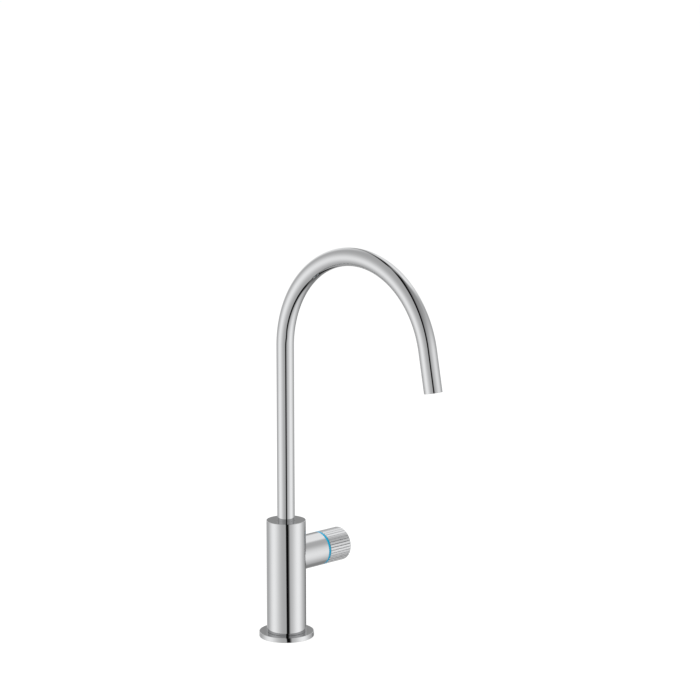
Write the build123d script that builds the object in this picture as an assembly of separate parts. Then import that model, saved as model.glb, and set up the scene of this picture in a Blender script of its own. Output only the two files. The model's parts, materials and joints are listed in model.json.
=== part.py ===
from build123d import *
import os
from math import cos, pi, radians, sin, sqrt

# Filtered water kitchen tap, in millimetres.
# The origin is the centre of the base on the worktop. Z is up, the knob is on the +X side,
# and the spout at rest reaches over the sink towards -Y.

# Base and body
FLANGE_DIAMETER = 50.0
FLANGE_THICKNESS = 4.5
BODY_DIAMETER = 36.0
BODY_TOP = 108.5
BODY_EDGE = 0.35
SPIGOT_STEP_IN = 3.0
BASE_SEAL_INSET = 1.5
BASE_SEAL_WIDTH = 3.0
BASE_SEAL_HEIGHT = 1.6

# Spout
TUBE_DIAMETER = 16.0
TUBE_WALL = 1.0
ARCH_RADIUS = 88.0
ARCH_SPRING_HEIGHT = 269.0
ARCH_TURN = 169.2
OUTLET_LENGTH = 36.0
FOOT_WALL = 2.5
SOCKET_DEPTH = 19.5
THRUST_WASHER_THICKNESS = 1.0
FOOT_TOP_BELOW_RIM = 2.5
FOOT_SPIGOT_LENGTH = 8.0
FOOT_SEAL_SECTION = 1.5
FOOT_SEAL_HEIGHTS = (2.2, 5.6)
LOCK_GROOVE_HEIGHT = 9.6
LOCK_GROOVE_DEPTH = 1.2
LOCK_SCREW_DIAMETER = 4.0
LOCK_TIP_DIAMETER = 2.2
GLIDE_RING_HEIGHT = 13.4
GLIDE_RING_WIDTH = 2.4
GLIDE_RING_THICKNESS = 0.75

# Spout mouth
INSERT_LENGTH = 12.0
INSERT_RECESS = 0.8
INSERT_WALL = 1.15
INSERT_SEAL_SECTION = 1.0
STRAIGHTENER_THICKNESS = 5.0
STRAIGHTENER_RECESS = 0.6
STRAIGHTENER_HOLE_DIAMETER = 1.5
STRAIGHTENER_PITCH = 2.0

# Valve neck and ring
VALVE_HEIGHT = 74.4
NECK_DIAMETER = 31.0
NECK_END = 39.8
NECK_WALL = 2.2
NECK_SPIGOT_STEP = 2.6
NECK_BORE_START = 21.0
RING_WIDTH = 2.4
RING_LIP_THICKNESS = 2.25
RING_LIP_LENGTH = 3.0

# Knob
KNOB_LENGTH = 26.0
KNOB_FLUTES = 36
FLUTE_WIDTH = 0.9
FLUTE_DEPTH = 0.85
KNOB_EDGE = 1.2
KNOB_BORE_DEPTH = 15.0
ADAPTER_WALL = 3.0
ADAPTER_LENGTH = 14.0
KNOB_SCREW_DIAMETER = 4.0
KNOB_SCREW_INSET = 1.95
KNOB_SCREW_OFFSET = 7.5

# Headwork, measured from the body's centre line towards the knob
SEAT_FACE = -1.0
CHAMBER_GAP = 1.0
THREAD_START = 9.0
THREAD_DIAMETER = 20.9
BARREL_DIAMETER = 18.0
BARREL_WALL = 1.0
SEAT_SEAL_THICKNESS = 2.0
SEAT_SEAL_BORE = 8.4
DISC_THICKNESS = 3.0
EAR_WIDTH = 3.0
DISC_WINDOW_ANGLE = 80.0
DISC_WEB_RADIUS = 1.6
DISC_RIM = 0.9
DRIVER_THICKNESS = 2.5
DRIVER_TAB_WIDTH = 2.4
DRIVER_TAB_REACH = 1.4
GLIDE_WASHER_THICKNESS = 0.8
SPINDLE_DIAMETER = 8.0
SPINDLE_SEAL_SECTION = 1.2
SPINDLE_SEAL_OFFSETS = (3.7, 7.7)
COLLAR_THICKNESS = 6.0
COLLAR_FLATS = 22.0
UNDERCUT_WIDTH = 2.2
HOUSING_SEAL_SECTION = 1.4
NOSE_WALL = 4.0
NOSE_LENGTH = 10.0
STOP_HEIGHT = 2.4
STOP_HUB_WALL = 1.1
STOP_CLEARANCE = 0.5
STOP_ANGLE = 150.0
STOP_MARGIN = 1.0
QUARTER_TURN = 90.0
CIRCLIP_THICKNESS = 1.0
CIRCLIP_WIDTH = 1.75
CIRCLIP_GROOVE_DEPTH = 0.7
CIRCLIP_OPENING = 50.0
CIRCLIP_PLAY = 0.25
STOP_WASHER_THICKNESS = 2.0
SPLINE_TEETH = 20
SPLINE_DEPTH = 0.4
SPINDLE_END_INSET = 1.5

# Waterways and fixing
INLET_OFFSET = -7.0
INLET_THREAD_DIAMETER = 9.0
INLET_THREAD_DEPTH = 14.0
INLET_CHANNEL_DIAMETER = 7.0
STRAINER_LENGTH = 6.0
STRAINER_WALL = 0.5
OUTLET_CHANNEL_OFFSET = 2.4
OUTLET_CHANNEL_DIAMETER = 6.0
STUD_OFFSET = 8.0
STUD_DIAMETER = 8.0
STUD_GRIP = 17.5
STUD_BELOW_DECK = 58.0
DECK_THICKNESS = 20.0
HORSESHOE_DIAMETER = 44.0
HORSESHOE_SLOT = 15.0
CLAMP_PAD_THICKNESS = 3.0
CLAMP_PLATE_THICKNESS = 3.0
NUT_FLATS = 13.0
NUT_HEIGHT = 10.0

# Clearances, all on the radius or on one side
RUNNING_GAP = 0.05
STATIC_GAP = 0.05
FREE_GAP = 0.3
THREAD_GAP = 0.1

# Values that follow from the ones above
BODY_RADIUS = BODY_DIAMETER / 2
BASE_SPIGOT_RADIUS = BODY_RADIUS - SPIGOT_STEP_IN
BASE_SEAL_OUTER = FLANGE_DIAMETER / 2 - BASE_SEAL_INSET
BASE_SEAL_INNER = BASE_SEAL_OUTER - BASE_SEAL_WIDTH
TUBE_RADIUS = TUBE_DIAMETER / 2
TUBE_BORE = TUBE_RADIUS - TUBE_WALL
SOCKET_FLOOR = BODY_TOP - SOCKET_DEPTH
SOCKET_RADIUS = TUBE_RADIUS + RUNNING_GAP
FOOT_BORE = TUBE_RADIUS - FOOT_WALL
FOOT_BOTTOM = SOCKET_FLOOR + THRUST_WASHER_THICKNESS
FOOT_TOP = BODY_TOP - FOOT_TOP_BELOW_RIM
NECK_RADIUS = NECK_DIAMETER / 2
NECK_BORE = NECK_RADIUS - NECK_WALL
NECK_SPIGOT = NECK_RADIUS - NECK_SPIGOT_STEP
RING_START = NECK_END
KNOB_START = RING_START + RING_WIDTH + FREE_GAP
KNOB_END = KNOB_START + KNOB_LENGTH
BARREL_RADIUS = BARREL_DIAMETER / 2
BARREL_BORE = BARREL_RADIUS - BARREL_WALL
BARREL_START = SEAT_FACE + SEAT_SEAL_THICKNESS / 2
FIXED_DISC_START = SEAT_FACE + SEAT_SEAL_THICKNESS
MOVING_DISC_START = FIXED_DISC_START + DISC_THICKNESS
DRIVER_START = MOVING_DISC_START + DISC_THICKNESS
DRIVER_END = DRIVER_START + DRIVER_THICKNESS
BARREL_FLOOR = DRIVER_END + GLIDE_WASHER_THICKNESS
MOVING_DISC_RADIUS = BARREL_BORE - FREE_GAP
SPINDLE_RADIUS = SPINDLE_DIAMETER / 2
SPINDLE_SEAL_PLACES = [BARREL_FLOOR + offset for offset in SPINDLE_SEAL_OFFSETS]
COLLAR_END = NECK_BORE_START + COLLAR_THICKNESS
NOSE_END = COLLAR_END + NOSE_LENGTH
NOSE_RADIUS = SPINDLE_RADIUS + NOSE_WALL
CIRCLIP_FLOOR = SPINDLE_RADIUS - CIRCLIP_GROOVE_DEPTH
CIRCLIP_OUTER = CIRCLIP_FLOOR + STATIC_GAP + CIRCLIP_WIDTH
CIRCLIP_START = NOSE_END + CIRCLIP_PLAY
STOP_HUB = SPINDLE_RADIUS + STOP_HUB_WALL
STOP_INNER = STOP_HUB + STOP_CLEARANCE
STOP_WASHER_START = CIRCLIP_START + CIRCLIP_THICKNESS + CIRCLIP_PLAY
ADAPTER_RADIUS = SPINDLE_RADIUS + ADAPTER_WALL
ADAPTER_START = KNOB_START + 2 * FREE_GAP
KNOB_BORE_END = KNOB_START + KNOB_BORE_DEPTH
SPINDLE_END = KNOB_BORE_END - SPINDLE_END_INSET
STUD_BOTTOM = -STUD_BELOW_DECK
PAD_TOP = -DECK_THICKNESS
PLATE_TOP = PAD_TOP - CLAMP_PAD_THICKNESS
NUT_TOP = PLATE_TOP - CLAMP_PLATE_THICKNESS

UP_FROM_BASE = (Align.CENTER, Align.CENTER, Align.MIN)


# Shapes that many pieces share

def upright(radius, bottom, top, x=0.0, y=0.0):
    """Cylinder about a vertical line, between two heights."""
    return Pos(x, y, bottom) * Cylinder(radius, top - bottom, align=UP_FROM_BASE)


def sideways(radius, start, end):
    """Cylinder about the valve's axis, between two distances from the body's centre line."""
    return Pos(start, 0, VALVE_HEIGHT) * Rot(0, 90, 0) * Cylinder(radius, end - start, align=UP_FROM_BASE)


def valve_prism(outline, start, end):
    """Prism along the valve's axis. The outline's own X points down and its Y points to the rear."""
    place = Pos(start, 0, VALVE_HEIGHT) * Rot(0, 90, 0)
    return place * extrude(outline, amount=end - start)


def sector(outer, inner, angle, centre_angle):
    """Flat piece of a ring, as wide as an angle in degrees, about its middle direction."""
    reach = 2 * outer
    half = radians(angle / 2)
    steps = 8
    rays = [half * (2 * step / steps - 1) for step in range(steps + 1)]
    fan = Polyline((0, 0), *[(reach * cos(ray), reach * sin(ray)) for ray in rays], close=True)
    wedge = Rot(0, 0, centre_angle) * make_face(fan)
    return (Circle(outer) - Circle(inner)) & wedge


def seal_ring(inner_radius, section):
    """O-ring that lies on an inner radius, about the Z axis."""
    return Torus(inner_radius + section / 2, section / 2)


def spline_outline(growth):
    """Splined shaft's outline, grown outwards by a clearance."""
    tip = SPINDLE_RADIUS + growth
    root = SPINDLE_RADIUS - SPLINE_DEPTH + growth
    step = 2 * pi / SPLINE_TEETH
    points = []
    for tooth in range(SPLINE_TEETH):
        for part, radius in ((0.0, root), (0.25, root), (0.5, tip), (0.75, tip)):
            turn = step * (tooth + part)
            points.append((radius * cos(turn), radius * sin(turn)))
    return make_face(Polyline(*points, close=True))


def chamfered(solid, size, axis, *ends):
    """Solid with the outermost round edges at its ends broken by a small chamfer."""
    for end in ends:
        face = solid.faces().sort_by(axis)[end]
        edge = face.edges().sort_by(SortBy.LENGTH)[-1]
        solid = chamfer(edge, size)
    return solid


# Base

def make_base_flange():
    """Ring on the worktop, with a groove for its seal underneath."""
    blank = upright(FLANGE_DIAMETER / 2, 0, FLANGE_THICKNESS)
    blank = chamfered(blank, BODY_EDGE, Axis.Z, -1)
    bore = upright(BASE_SPIGOT_RADIUS + STATIC_GAP, 0, FLANGE_THICKNESS)
    groove_top = BASE_SEAL_HEIGHT + STATIC_GAP
    groove = upright(BASE_SEAL_OUTER + STATIC_GAP, 0, groove_top)
    groove -= upright(BASE_SEAL_INNER - STATIC_GAP, 0, groove_top)
    return blank - bore - groove


def make_base_seal():
    """Flat rubber ring in the flange's groove, pressed level with the flange's underside."""
    return upright(BASE_SEAL_OUTER, 0, BASE_SEAL_HEIGHT) - upright(BASE_SEAL_INNER, 0, BASE_SEAL_HEIGHT)


# Body

def inlet_way():
    """Threaded inlet port and the channel that climbs to the seat."""
    port = upright(INLET_THREAD_DIAMETER / 2, 0, INLET_THREAD_DEPTH, INLET_OFFSET)
    channel = upright(INLET_CHANNEL_DIAMETER / 2, 0, VALVE_HEIGHT, INLET_OFFSET)
    cross = sideways(SEAT_SEAL_BORE / 2, INLET_OFFSET, SEAT_FACE)
    return port + channel + cross


def valve_chamber():
    """Space for the headwork's barrel, and the wider bore for the neck's spigot."""
    chamber = sideways(BARREL_RADIUS + CHAMBER_GAP, SEAT_FACE, THREAD_START)
    spigot_bore = sideways(NECK_SPIGOT + STATIC_GAP, THREAD_START, BODY_DIAMETER)
    return chamber + spigot_bore


def outlet_way():
    """Channel from the valve chamber up to the spout's socket, and the socket."""
    channel_start = VALVE_HEIGHT + BARREL_RADIUS
    channel = upright(OUTLET_CHANNEL_DIAMETER / 2, channel_start, SOCKET_FLOOR, OUTLET_CHANNEL_OFFSET)
    socket = upright(SOCKET_RADIUS, SOCKET_FLOOR, BODY_TOP)
    return channel + socket


def lock_screw_line():
    """Place of the spout's lock screw: its axis points from the spout's centre to the rear."""
    return Pos(0, 0, FOOT_BOTTOM + LOCK_GROOVE_HEIGHT) * Rot(-90, 0, 0)


def make_body():
    """Upright body with its waterways, socket, stud hole and lock screw hole."""
    blank = upright(BODY_RADIUS, FLANGE_THICKNESS, BODY_TOP)
    blank = chamfered(blank, BODY_EDGE, Axis.Z, 0, -1)
    spigot = upright(BASE_SPIGOT_RADIUS, 0, FLANGE_THICKNESS)
    stud_hole = upright(STUD_DIAMETER / 2 + STATIC_GAP, 0, STUD_GRIP + FREE_GAP, STUD_OFFSET)
    screw_hole_radius = LOCK_SCREW_DIAMETER / 2 + STATIC_GAP
    screw_hole = lock_screw_line() * Cylinder(screw_hole_radius, BODY_DIAMETER, align=UP_FROM_BASE)
    return blank + spigot - inlet_way() - valve_chamber() - outlet_way() - stud_hole - screw_hole


def make_inlet_strainer():
    """Small mesh cup that stands in the inlet channel, open below."""
    radius = INLET_CHANNEL_DIAMETER / 2 - STATIC_GAP
    bottom = INLET_THREAD_DEPTH + FREE_GAP
    top = bottom + STRAINER_LENGTH
    cup = upright(radius, bottom, top, INLET_OFFSET)
    cup -= upright(radius - STRAINER_WALL, bottom, top - STRAINER_WALL, INLET_OFFSET)
    hole_radius = radius / 8
    for ring_radius, count in ((0.0, 1), (radius * 0.4, 6), (radius * 0.72, 12)):
        for index in range(count):
            turn = 2 * pi * index / count
            x = INLET_OFFSET + ring_radius * cos(turn)
            cup -= upright(hole_radius, bottom, top, x, ring_radius * sin(turn))
    return cup


# Neck and indicator ring

def make_valve_neck():
    """Sleeve brazed to the body's side: it fits the body's round and holds the headwork."""
    spigot = sideways(NECK_SPIGOT, THREAD_START, NECK_END)
    sleeve = sideways(NECK_RADIUS, THREAD_START, NECK_END)
    sleeve -= upright(BODY_RADIUS + STATIC_GAP, 0, BODY_TOP)
    neck = spigot + sleeve
    neck -= sideways(THREAD_DIAMETER / 2 + THREAD_GAP, THREAD_START, NECK_BORE_START)
    return neck - sideways(NECK_BORE, NECK_BORE_START, NECK_END)


def make_indicator_ring():
    """Coloured ring, level with the neck, whose lip sits in the neck's bore."""
    lip_start = RING_START - RING_LIP_LENGTH
    ring_end = RING_START + RING_WIDTH
    lip_radius = NECK_BORE - STATIC_GAP
    ring = sideways(NECK_RADIUS, RING_START, ring_end) + sideways(lip_radius, lip_start, RING_START)
    return ring - sideways(lip_radius - RING_LIP_THICKNESS, lip_start, ring_end)


# Headwork, fixed pieces

def make_seat_seal():
    """Rubber ring between the seat in the body and the fixed disc."""
    outer = sideways(BARREL_BORE - STATIC_GAP, SEAT_FACE, FIXED_DISC_START)
    return outer - sideways(SEAT_SEAL_BORE / 2, SEAT_FACE, FIXED_DISC_START)


def disc_windows(radius, centre_angle):
    """Outline of the two opposite windows of a ceramic disc."""
    first = sector(radius, DISC_WEB_RADIUS, DISC_WINDOW_ANGLE, centre_angle)
    second = sector(radius, DISC_WEB_RADIUS, DISC_WINDOW_ANGLE, centre_angle + 180)
    return first + second


def ear_outline(growth):
    """Outline of the two ears that keep the fixed disc from turning."""
    length = BARREL_DIAMETER - BARREL_WALL
    return Rectangle(length + growth, EAR_WIDTH + 2 * growth)


def make_fixed_disc():
    """Ceramic disc with two windows towards front and rear, held by ears in the barrel."""
    end = FIXED_DISC_START + DISC_THICKNESS
    outline = Circle(BARREL_BORE - STATIC_GAP) + ear_outline(0.0)
    outline -= disc_windows(BARREL_BORE - DISC_RIM, 90)
    return valve_prism(outline, FIXED_DISC_START, end)


def make_headwork_housing():
    """Threaded brass housing with a hexagon collar, side windows and a stop at its end."""
    thread_end = NECK_BORE_START - UNDERCUT_WIDTH
    housing = sideways(BARREL_RADIUS, BARREL_START, NECK_BORE_START)
    housing += sideways(THREAD_DIAMETER / 2, THREAD_START, thread_end)
    collar = RegularPolygon(COLLAR_FLATS / 2, 6, major_radius=False)
    housing += valve_prism(collar, NECK_BORE_START, COLLAR_END)
    housing += sideways(NOSE_RADIUS, COLLAR_END, NOSE_END)
    stop = sector(NOSE_RADIUS, STOP_INNER, STOP_ANGLE, 180)
    housing += valve_prism(stop, NOSE_END, NOSE_END + STOP_HEIGHT)
    housing -= sideways(BARREL_BORE, BARREL_START, BARREL_FLOOR)
    housing -= sideways(SPINDLE_RADIUS + RUNNING_GAP, BARREL_FLOOR, NOSE_END)
    slots = ear_outline(2 * STATIC_GAP)
    housing -= valve_prism(slots, BARREL_START, FIXED_DISC_START + DISC_THICKNESS)
    window = Rectangle(BARREL_BORE, 2 * BARREL_DIAMETER)
    return housing - valve_prism(window, MOVING_DISC_START + STATIC_GAP, THREAD_START - BARREL_WALL)


def make_housing_o_ring():
    """Seal in the undercut behind the headwork's thread."""
    ring = seal_ring(BARREL_RADIUS, HOUSING_SEAL_SECTION)
    return Pos(NECK_BORE_START - UNDERCUT_WIDTH / 2, 0, VALVE_HEIGHT) * Rot(0, 90, 0) * ring


# Headwork, turning pieces

def tab_outline(growth):
    """Outline of the driver's cross bar, which sits in a slot of the moving disc."""
    return Rectangle(DRIVER_TAB_WIDTH + 2 * growth, 2 * (MOVING_DISC_RADIUS - DISC_RIM) + 2 * growth)


def make_moving_disc():
    """Ceramic disc turned a quarter away from the fixed disc's windows, so that the valve is shut."""
    outline = Circle(MOVING_DISC_RADIUS) - disc_windows(2 * MOVING_DISC_RADIUS, 0)
    disc = valve_prism(outline, MOVING_DISC_START, DRIVER_START)
    return disc - valve_prism(tab_outline(STATIC_GAP), DRIVER_START - DRIVER_TAB_REACH, DRIVER_START)


def make_spindle():
    """Spindle with its driver, seal grooves, circlip groove and splined end."""
    spindle = sideways(MOVING_DISC_RADIUS - STATIC_GAP, DRIVER_START, DRIVER_END)
    spindle -= valve_prism(disc_windows(2 * MOVING_DISC_RADIUS, 0), DRIVER_START, DRIVER_END)
    spindle += valve_prism(tab_outline(0.0), DRIVER_START - DRIVER_TAB_REACH + STATIC_GAP, DRIVER_START)
    spindle += sideways(SPINDLE_RADIUS, DRIVER_START, STOP_WASHER_START)
    spindle += valve_prism(spline_outline(0.0), STOP_WASHER_START, SPINDLE_END)
    for place in SPINDLE_SEAL_PLACES:
        half_width = SPINDLE_SEAL_SECTION / 2 + FREE_GAP / 2
        groove = sideways(SPINDLE_DIAMETER, place - half_width, place + half_width)
        groove -= sideways(SPINDLE_RADIUS - SPINDLE_SEAL_SECTION, place - half_width, place + half_width)
        spindle -= groove
    clip_end = CIRCLIP_START + CIRCLIP_THICKNESS + STATIC_GAP
    clip_groove = sideways(SPINDLE_DIAMETER, CIRCLIP_START - STATIC_GAP, clip_end)
    clip_groove -= sideways(CIRCLIP_FLOOR, CIRCLIP_START - STATIC_GAP, clip_end)
    return spindle - clip_groove


def make_spindle_glide_washer():
    """Plastic washer between the driver and the floor of the barrel."""
    washer = sideways(BARREL_BORE - STATIC_GAP, DRIVER_END, BARREL_FLOOR)
    return washer - sideways(SPINDLE_RADIUS + RUNNING_GAP, DRIVER_END, BARREL_FLOOR)


def make_spindle_o_rings():
    """Two seals in the spindle's grooves."""
    rings = []
    for place in SPINDLE_SEAL_PLACES:
        ring = seal_ring(SPINDLE_RADIUS - SPINDLE_SEAL_SECTION, SPINDLE_SEAL_SECTION)
        rings.append(Pos(place, 0, VALVE_HEIGHT) * Rot(0, 90, 0) * ring)
    return Compound(children=rings)


def make_spindle_circlip():
    """Open clip in the spindle's groove, just outside the housing."""
    clip = sector(CIRCLIP_OUTER, CIRCLIP_FLOOR + STATIC_GAP, 360 - CIRCLIP_OPENING, 0)
    return valve_prism(clip, CIRCLIP_START, CIRCLIP_START + CIRCLIP_THICKNESS)


def make_stop_washer():
    """Splined washer whose lug meets the housing's stop at both ends of the quarter turn."""
    end = STOP_WASHER_START + STOP_WASHER_THICKNESS
    lug_angle = 360 - STOP_ANGLE - QUARTER_TURN - 2 * STOP_MARGIN
    centre_angle = -QUARTER_TURN / 2
    web = sector(NOSE_RADIUS, SPINDLE_RADIUS + STATIC_GAP, lug_angle, centre_angle)
    outline = Circle(STOP_HUB) + web - spline_outline(STATIC_GAP)
    washer = valve_prism(outline, STOP_WASHER_START, end)
    lug = sector(NOSE_RADIUS, STOP_INNER, lug_angle, centre_angle)
    return washer + valve_prism(lug, NOSE_END + FREE_GAP, end)


# Knob

def make_spline_adapter():
    """Plastic sleeve that carries the knob on the spindle's splines."""
    sleeve = Circle(ADAPTER_RADIUS) - spline_outline(STATIC_GAP)
    return valve_prism(sleeve, ADAPTER_START, ADAPTER_START + ADAPTER_LENGTH)


def knob_screw_line():
    """Place of the knob's grub screw: its axis points down from the valve's axis."""
    return Pos(KNOB_START + KNOB_SCREW_OFFSET, 0, VALVE_HEIGHT) * Rot(180, 0, 0)


def flute_notch():
    """V-shaped notch that opens along X from its tip, and is as wide as a flute at the flute's depth."""
    reach = FLUTE_DEPTH + FREE_GAP
    half_width = FLUTE_WIDTH / 2 * reach / FLUTE_DEPTH
    return make_face(Polyline((0, 0), (reach, -half_width), (reach, half_width), close=True))


def make_knob():
    """Turned knob with V-shaped flutes all round, a softened outer edge and a blind bore."""
    knob = sideways(NECK_RADIUS, KNOB_START, KNOB_END)
    outer_edge = knob.faces().sort_by(Axis.X)[-1].edges()
    knob = fillet(outer_edge, KNOB_EDGE)
    flutes = PolarLocations(NECK_RADIUS - FLUTE_DEPTH, KNOB_FLUTES) * flute_notch()
    knob -= valve_prism(Sketch() + flutes, KNOB_START, KNOB_END)
    knob -= sideways(ADAPTER_RADIUS + STATIC_GAP, KNOB_START, KNOB_BORE_END)
    screw_hole_radius = KNOB_SCREW_DIAMETER / 2 + STATIC_GAP
    return knob - knob_screw_line() * Cylinder(screw_hole_radius, NECK_DIAMETER, align=UP_FROM_BASE)


def grub_screw(diameter, tip_diameter, tip_start, shank_start, end):
    """Grub screw along Z with a hexagon socket in its outer end."""
    screw = upright(diameter / 2, shank_start, end)
    if tip_start < shank_start:
        screw += upright(tip_diameter / 2, tip_start, shank_start)
    socket = RegularPolygon(diameter / 4, 6, major_radius=False)
    return screw - Pos(0, 0, end - diameter / 2) * extrude(socket, amount=diameter)


def make_knob_grub_screw():
    """Short screw from below that presses on the adapter."""
    start = ADAPTER_RADIUS + STATIC_GAP
    end = NECK_RADIUS - KNOB_SCREW_INSET
    screw = grub_screw(KNOB_SCREW_DIAMETER, KNOB_SCREW_DIAMETER, start, start, end)
    return knob_screw_line() * screw


# Spout

def spout_path():
    """Centre line of the gooseneck: riser, one large arc and the straight outlet."""
    turn = radians(ARCH_TURN)
    start = Vector(0, 0, FOOT_TOP)
    spring = Vector(0, 0, ARCH_SPRING_HEIGHT)
    crown_y = -ARCH_RADIUS * (1 - cos(turn / 2))
    crown = Vector(0, crown_y, ARCH_SPRING_HEIGHT + ARCH_RADIUS * sin(turn / 2))
    end_y = -ARCH_RADIUS * (1 - cos(turn))
    arch_end = Vector(0, end_y, ARCH_SPRING_HEIGHT + ARCH_RADIUS * sin(turn))
    mouth = arch_end + outlet_direction() * OUTLET_LENGTH
    return Line(start, spring) + ThreePointArc(spring, crown, arch_end) + Line(arch_end, mouth)


def outlet_direction():
    """Unit vector along the outlet, towards its mouth."""
    turn = radians(ARCH_TURN)
    return Vector(0, -sin(turn), cos(turn))


def mouth_place(depth):
    """Place on the outlet's axis at a depth inside its mouth. Z points out of the mouth."""
    turn = radians(ARCH_TURN)
    mouth_y = -ARCH_RADIUS * (1 - cos(turn)) - OUTLET_LENGTH * sin(turn)
    mouth_z = ARCH_SPRING_HEIGHT + ARCH_RADIUS * sin(turn) + OUTLET_LENGTH * cos(turn)
    point = Vector(0, mouth_y, mouth_z) - outlet_direction() * depth
    return Location(Plane(origin=point, x_dir=(1, 0, 0), z_dir=outlet_direction()))


def make_spout_tube():
    """Gooseneck tube of one diameter and wall all along."""
    section = Pos(0, 0, FOOT_TOP) * (Circle(TUBE_RADIUS) - Circle(TUBE_BORE))
    return sweep(section, path=spout_path())


def ring_groove(radius, floor_radius, centre, width):
    """Groove round a vertical shaft."""
    bottom = centre - width / 2
    top = centre + width / 2
    return upright(2 * radius, bottom, top) - upright(floor_radius, bottom, top)


def make_spout_foot():
    """Foot brazed into the tube, with grooves for seals, lock screw and glide ring."""
    foot = upright(TUBE_RADIUS, FOOT_BOTTOM, FOOT_TOP)
    foot += upright(TUBE_BORE - STATIC_GAP, FOOT_TOP, FOOT_TOP + FOOT_SPIGOT_LENGTH)
    foot -= upright(FOOT_BORE, FOOT_BOTTOM, FOOT_TOP + FOOT_SPIGOT_LENGTH)
    seal_floor = TUBE_RADIUS - FOOT_SEAL_SECTION
    seal_width = FOOT_SEAL_SECTION + FREE_GAP
    for height in FOOT_SEAL_HEIGHTS:
        foot -= ring_groove(TUBE_RADIUS, seal_floor, FOOT_BOTTOM + height, seal_width)
    lock_floor = TUBE_RADIUS - LOCK_GROOVE_DEPTH
    lock_width = LOCK_TIP_DIAMETER + 2 * FREE_GAP
    foot -= ring_groove(TUBE_RADIUS, lock_floor, FOOT_BOTTOM + LOCK_GROOVE_HEIGHT, lock_width)
    glide_floor = TUBE_RADIUS - GLIDE_RING_THICKNESS - STATIC_GAP
    glide_width = GLIDE_RING_WIDTH + 2 * STATIC_GAP
    return foot - ring_groove(TUBE_RADIUS, glide_floor, FOOT_BOTTOM + GLIDE_RING_HEIGHT, glide_width)


def make_spout_o_rings():
    """Two seals in the foot's lower grooves."""
    rings = []
    for height in FOOT_SEAL_HEIGHTS:
        ring = seal_ring(TUBE_RADIUS - FOOT_SEAL_SECTION, FOOT_SEAL_SECTION)
        rings.append(Pos(0, 0, FOOT_BOTTOM + height) * ring)
    return Compound(children=rings)


def make_spout_glide_ring():
    """Split plastic ring that guides the foot in its socket."""
    split_angle = 8
    band = sector(TUBE_RADIUS, TUBE_RADIUS - GLIDE_RING_THICKNESS, 360 - split_angle, 0)
    bottom = FOOT_BOTTOM + GLIDE_RING_HEIGHT - GLIDE_RING_WIDTH / 2
    return Pos(0, 0, bottom) * extrude(band, amount=GLIDE_RING_WIDTH)


def make_spout_thrust_washer():
    """Plastic washer on the socket's floor, which carries the spout."""
    washer = upright(SOCKET_RADIUS - STATIC_GAP, SOCKET_FLOOR, FOOT_BOTTOM)
    return washer - upright(FOOT_BORE, SOCKET_FLOOR, FOOT_BOTTOM)


def make_spout_lock_screw():
    """Grub screw at the back, whose tip runs in the foot's groove and keeps the spout in."""
    tip_start = TUBE_RADIUS - LOCK_GROOVE_DEPTH + FREE_GAP
    shank_start = SOCKET_RADIUS + 1.0
    end = BODY_RADIUS - 1.0
    screw = grub_screw(LOCK_SCREW_DIAMETER, LOCK_TIP_DIAMETER, tip_start, shank_start, end)
    return lock_screw_line() * screw


# Spout mouth

def make_outlet_insert():
    """Plastic insert in the tube's mouth, with a groove for its seal and a step for the disc."""
    outer = TUBE_BORE - STATIC_GAP
    inner = outer - INSERT_WALL
    step_depth = STRAIGHTENER_RECESS + STRAIGHTENER_THICKNESS
    insert = Cylinder(outer, INSERT_LENGTH, align=UP_FROM_BASE)
    insert -= Cylinder(inner - INSERT_WALL / 2, INSERT_LENGTH, align=UP_FROM_BASE)
    step = Cylinder(inner, step_depth, align=UP_FROM_BASE)
    insert -= Pos(0, 0, INSERT_LENGTH - step_depth) * step
    half_width = INSERT_SEAL_SECTION / 2 + STATIC_GAP
    groove = Cylinder(2 * outer, 2 * half_width) - Cylinder(outer - INSERT_SEAL_SECTION, 2 * half_width)
    insert -= Pos(0, 0, INSERT_LENGTH / 4) * groove
    return mouth_place(INSERT_RECESS + INSERT_LENGTH) * insert


def make_outlet_o_ring():
    """Seal between the insert and the tube."""
    outer = TUBE_BORE - STATIC_GAP
    ring = seal_ring(outer - INSERT_SEAL_SECTION, INSERT_SEAL_SECTION)
    return mouth_place(INSERT_RECESS + INSERT_LENGTH * 3 / 4) * ring


def make_flow_straightener():
    """Disc with a honeycomb of round holes, which gives a clear, smooth stream."""
    radius = TUBE_BORE - 2 * STATIC_GAP - INSERT_WALL
    disc = Circle(radius)
    rows = int(radius / STRAIGHTENER_PITCH) + 1
    limit = radius - STRAIGHTENER_HOLE_DIAMETER
    for row in range(-rows, rows + 1):
        for column in range(-rows, rows + 1):
            x = STRAIGHTENER_PITCH * (column + row / 2)
            y = STRAIGHTENER_PITCH * row * sqrt(3) / 2
            if x * x + y * y < limit * limit:
                disc -= Pos(x, y) * Circle(STRAIGHTENER_HOLE_DIAMETER / 2)
    place = mouth_place(INSERT_RECESS + STRAIGHTENER_RECESS + STRAIGHTENER_THICKNESS)
    return place * extrude(disc, amount=STRAIGHTENER_THICKNESS)


# Fixing under the worktop

def make_fixing_stud():
    """Stud screwed into the body's underside."""
    stud = upright(STUD_DIAMETER / 2, STUD_BOTTOM, STUD_GRIP, STUD_OFFSET)
    return chamfered(stud, 2 * BODY_EDGE, Axis.Z, 0, -1)


def horseshoe(top, thickness):
    """Round plate with a slot for the hose and a hole for the stud."""
    bottom = top - thickness
    plate = upright(HORSESHOE_DIAMETER / 2, bottom, top)
    plate -= upright(HORSESHOE_SLOT / 2, bottom, top, INLET_OFFSET)
    slot = Box(HORSESHOE_DIAMETER, HORSESHOE_SLOT, thickness, align=(Align.MAX, Align.CENTER, Align.MIN))
    plate -= Pos(INLET_OFFSET, 0, bottom) * slot
    return plate - upright(STUD_DIAMETER / 2 + FREE_GAP, bottom, top, STUD_OFFSET)


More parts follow.
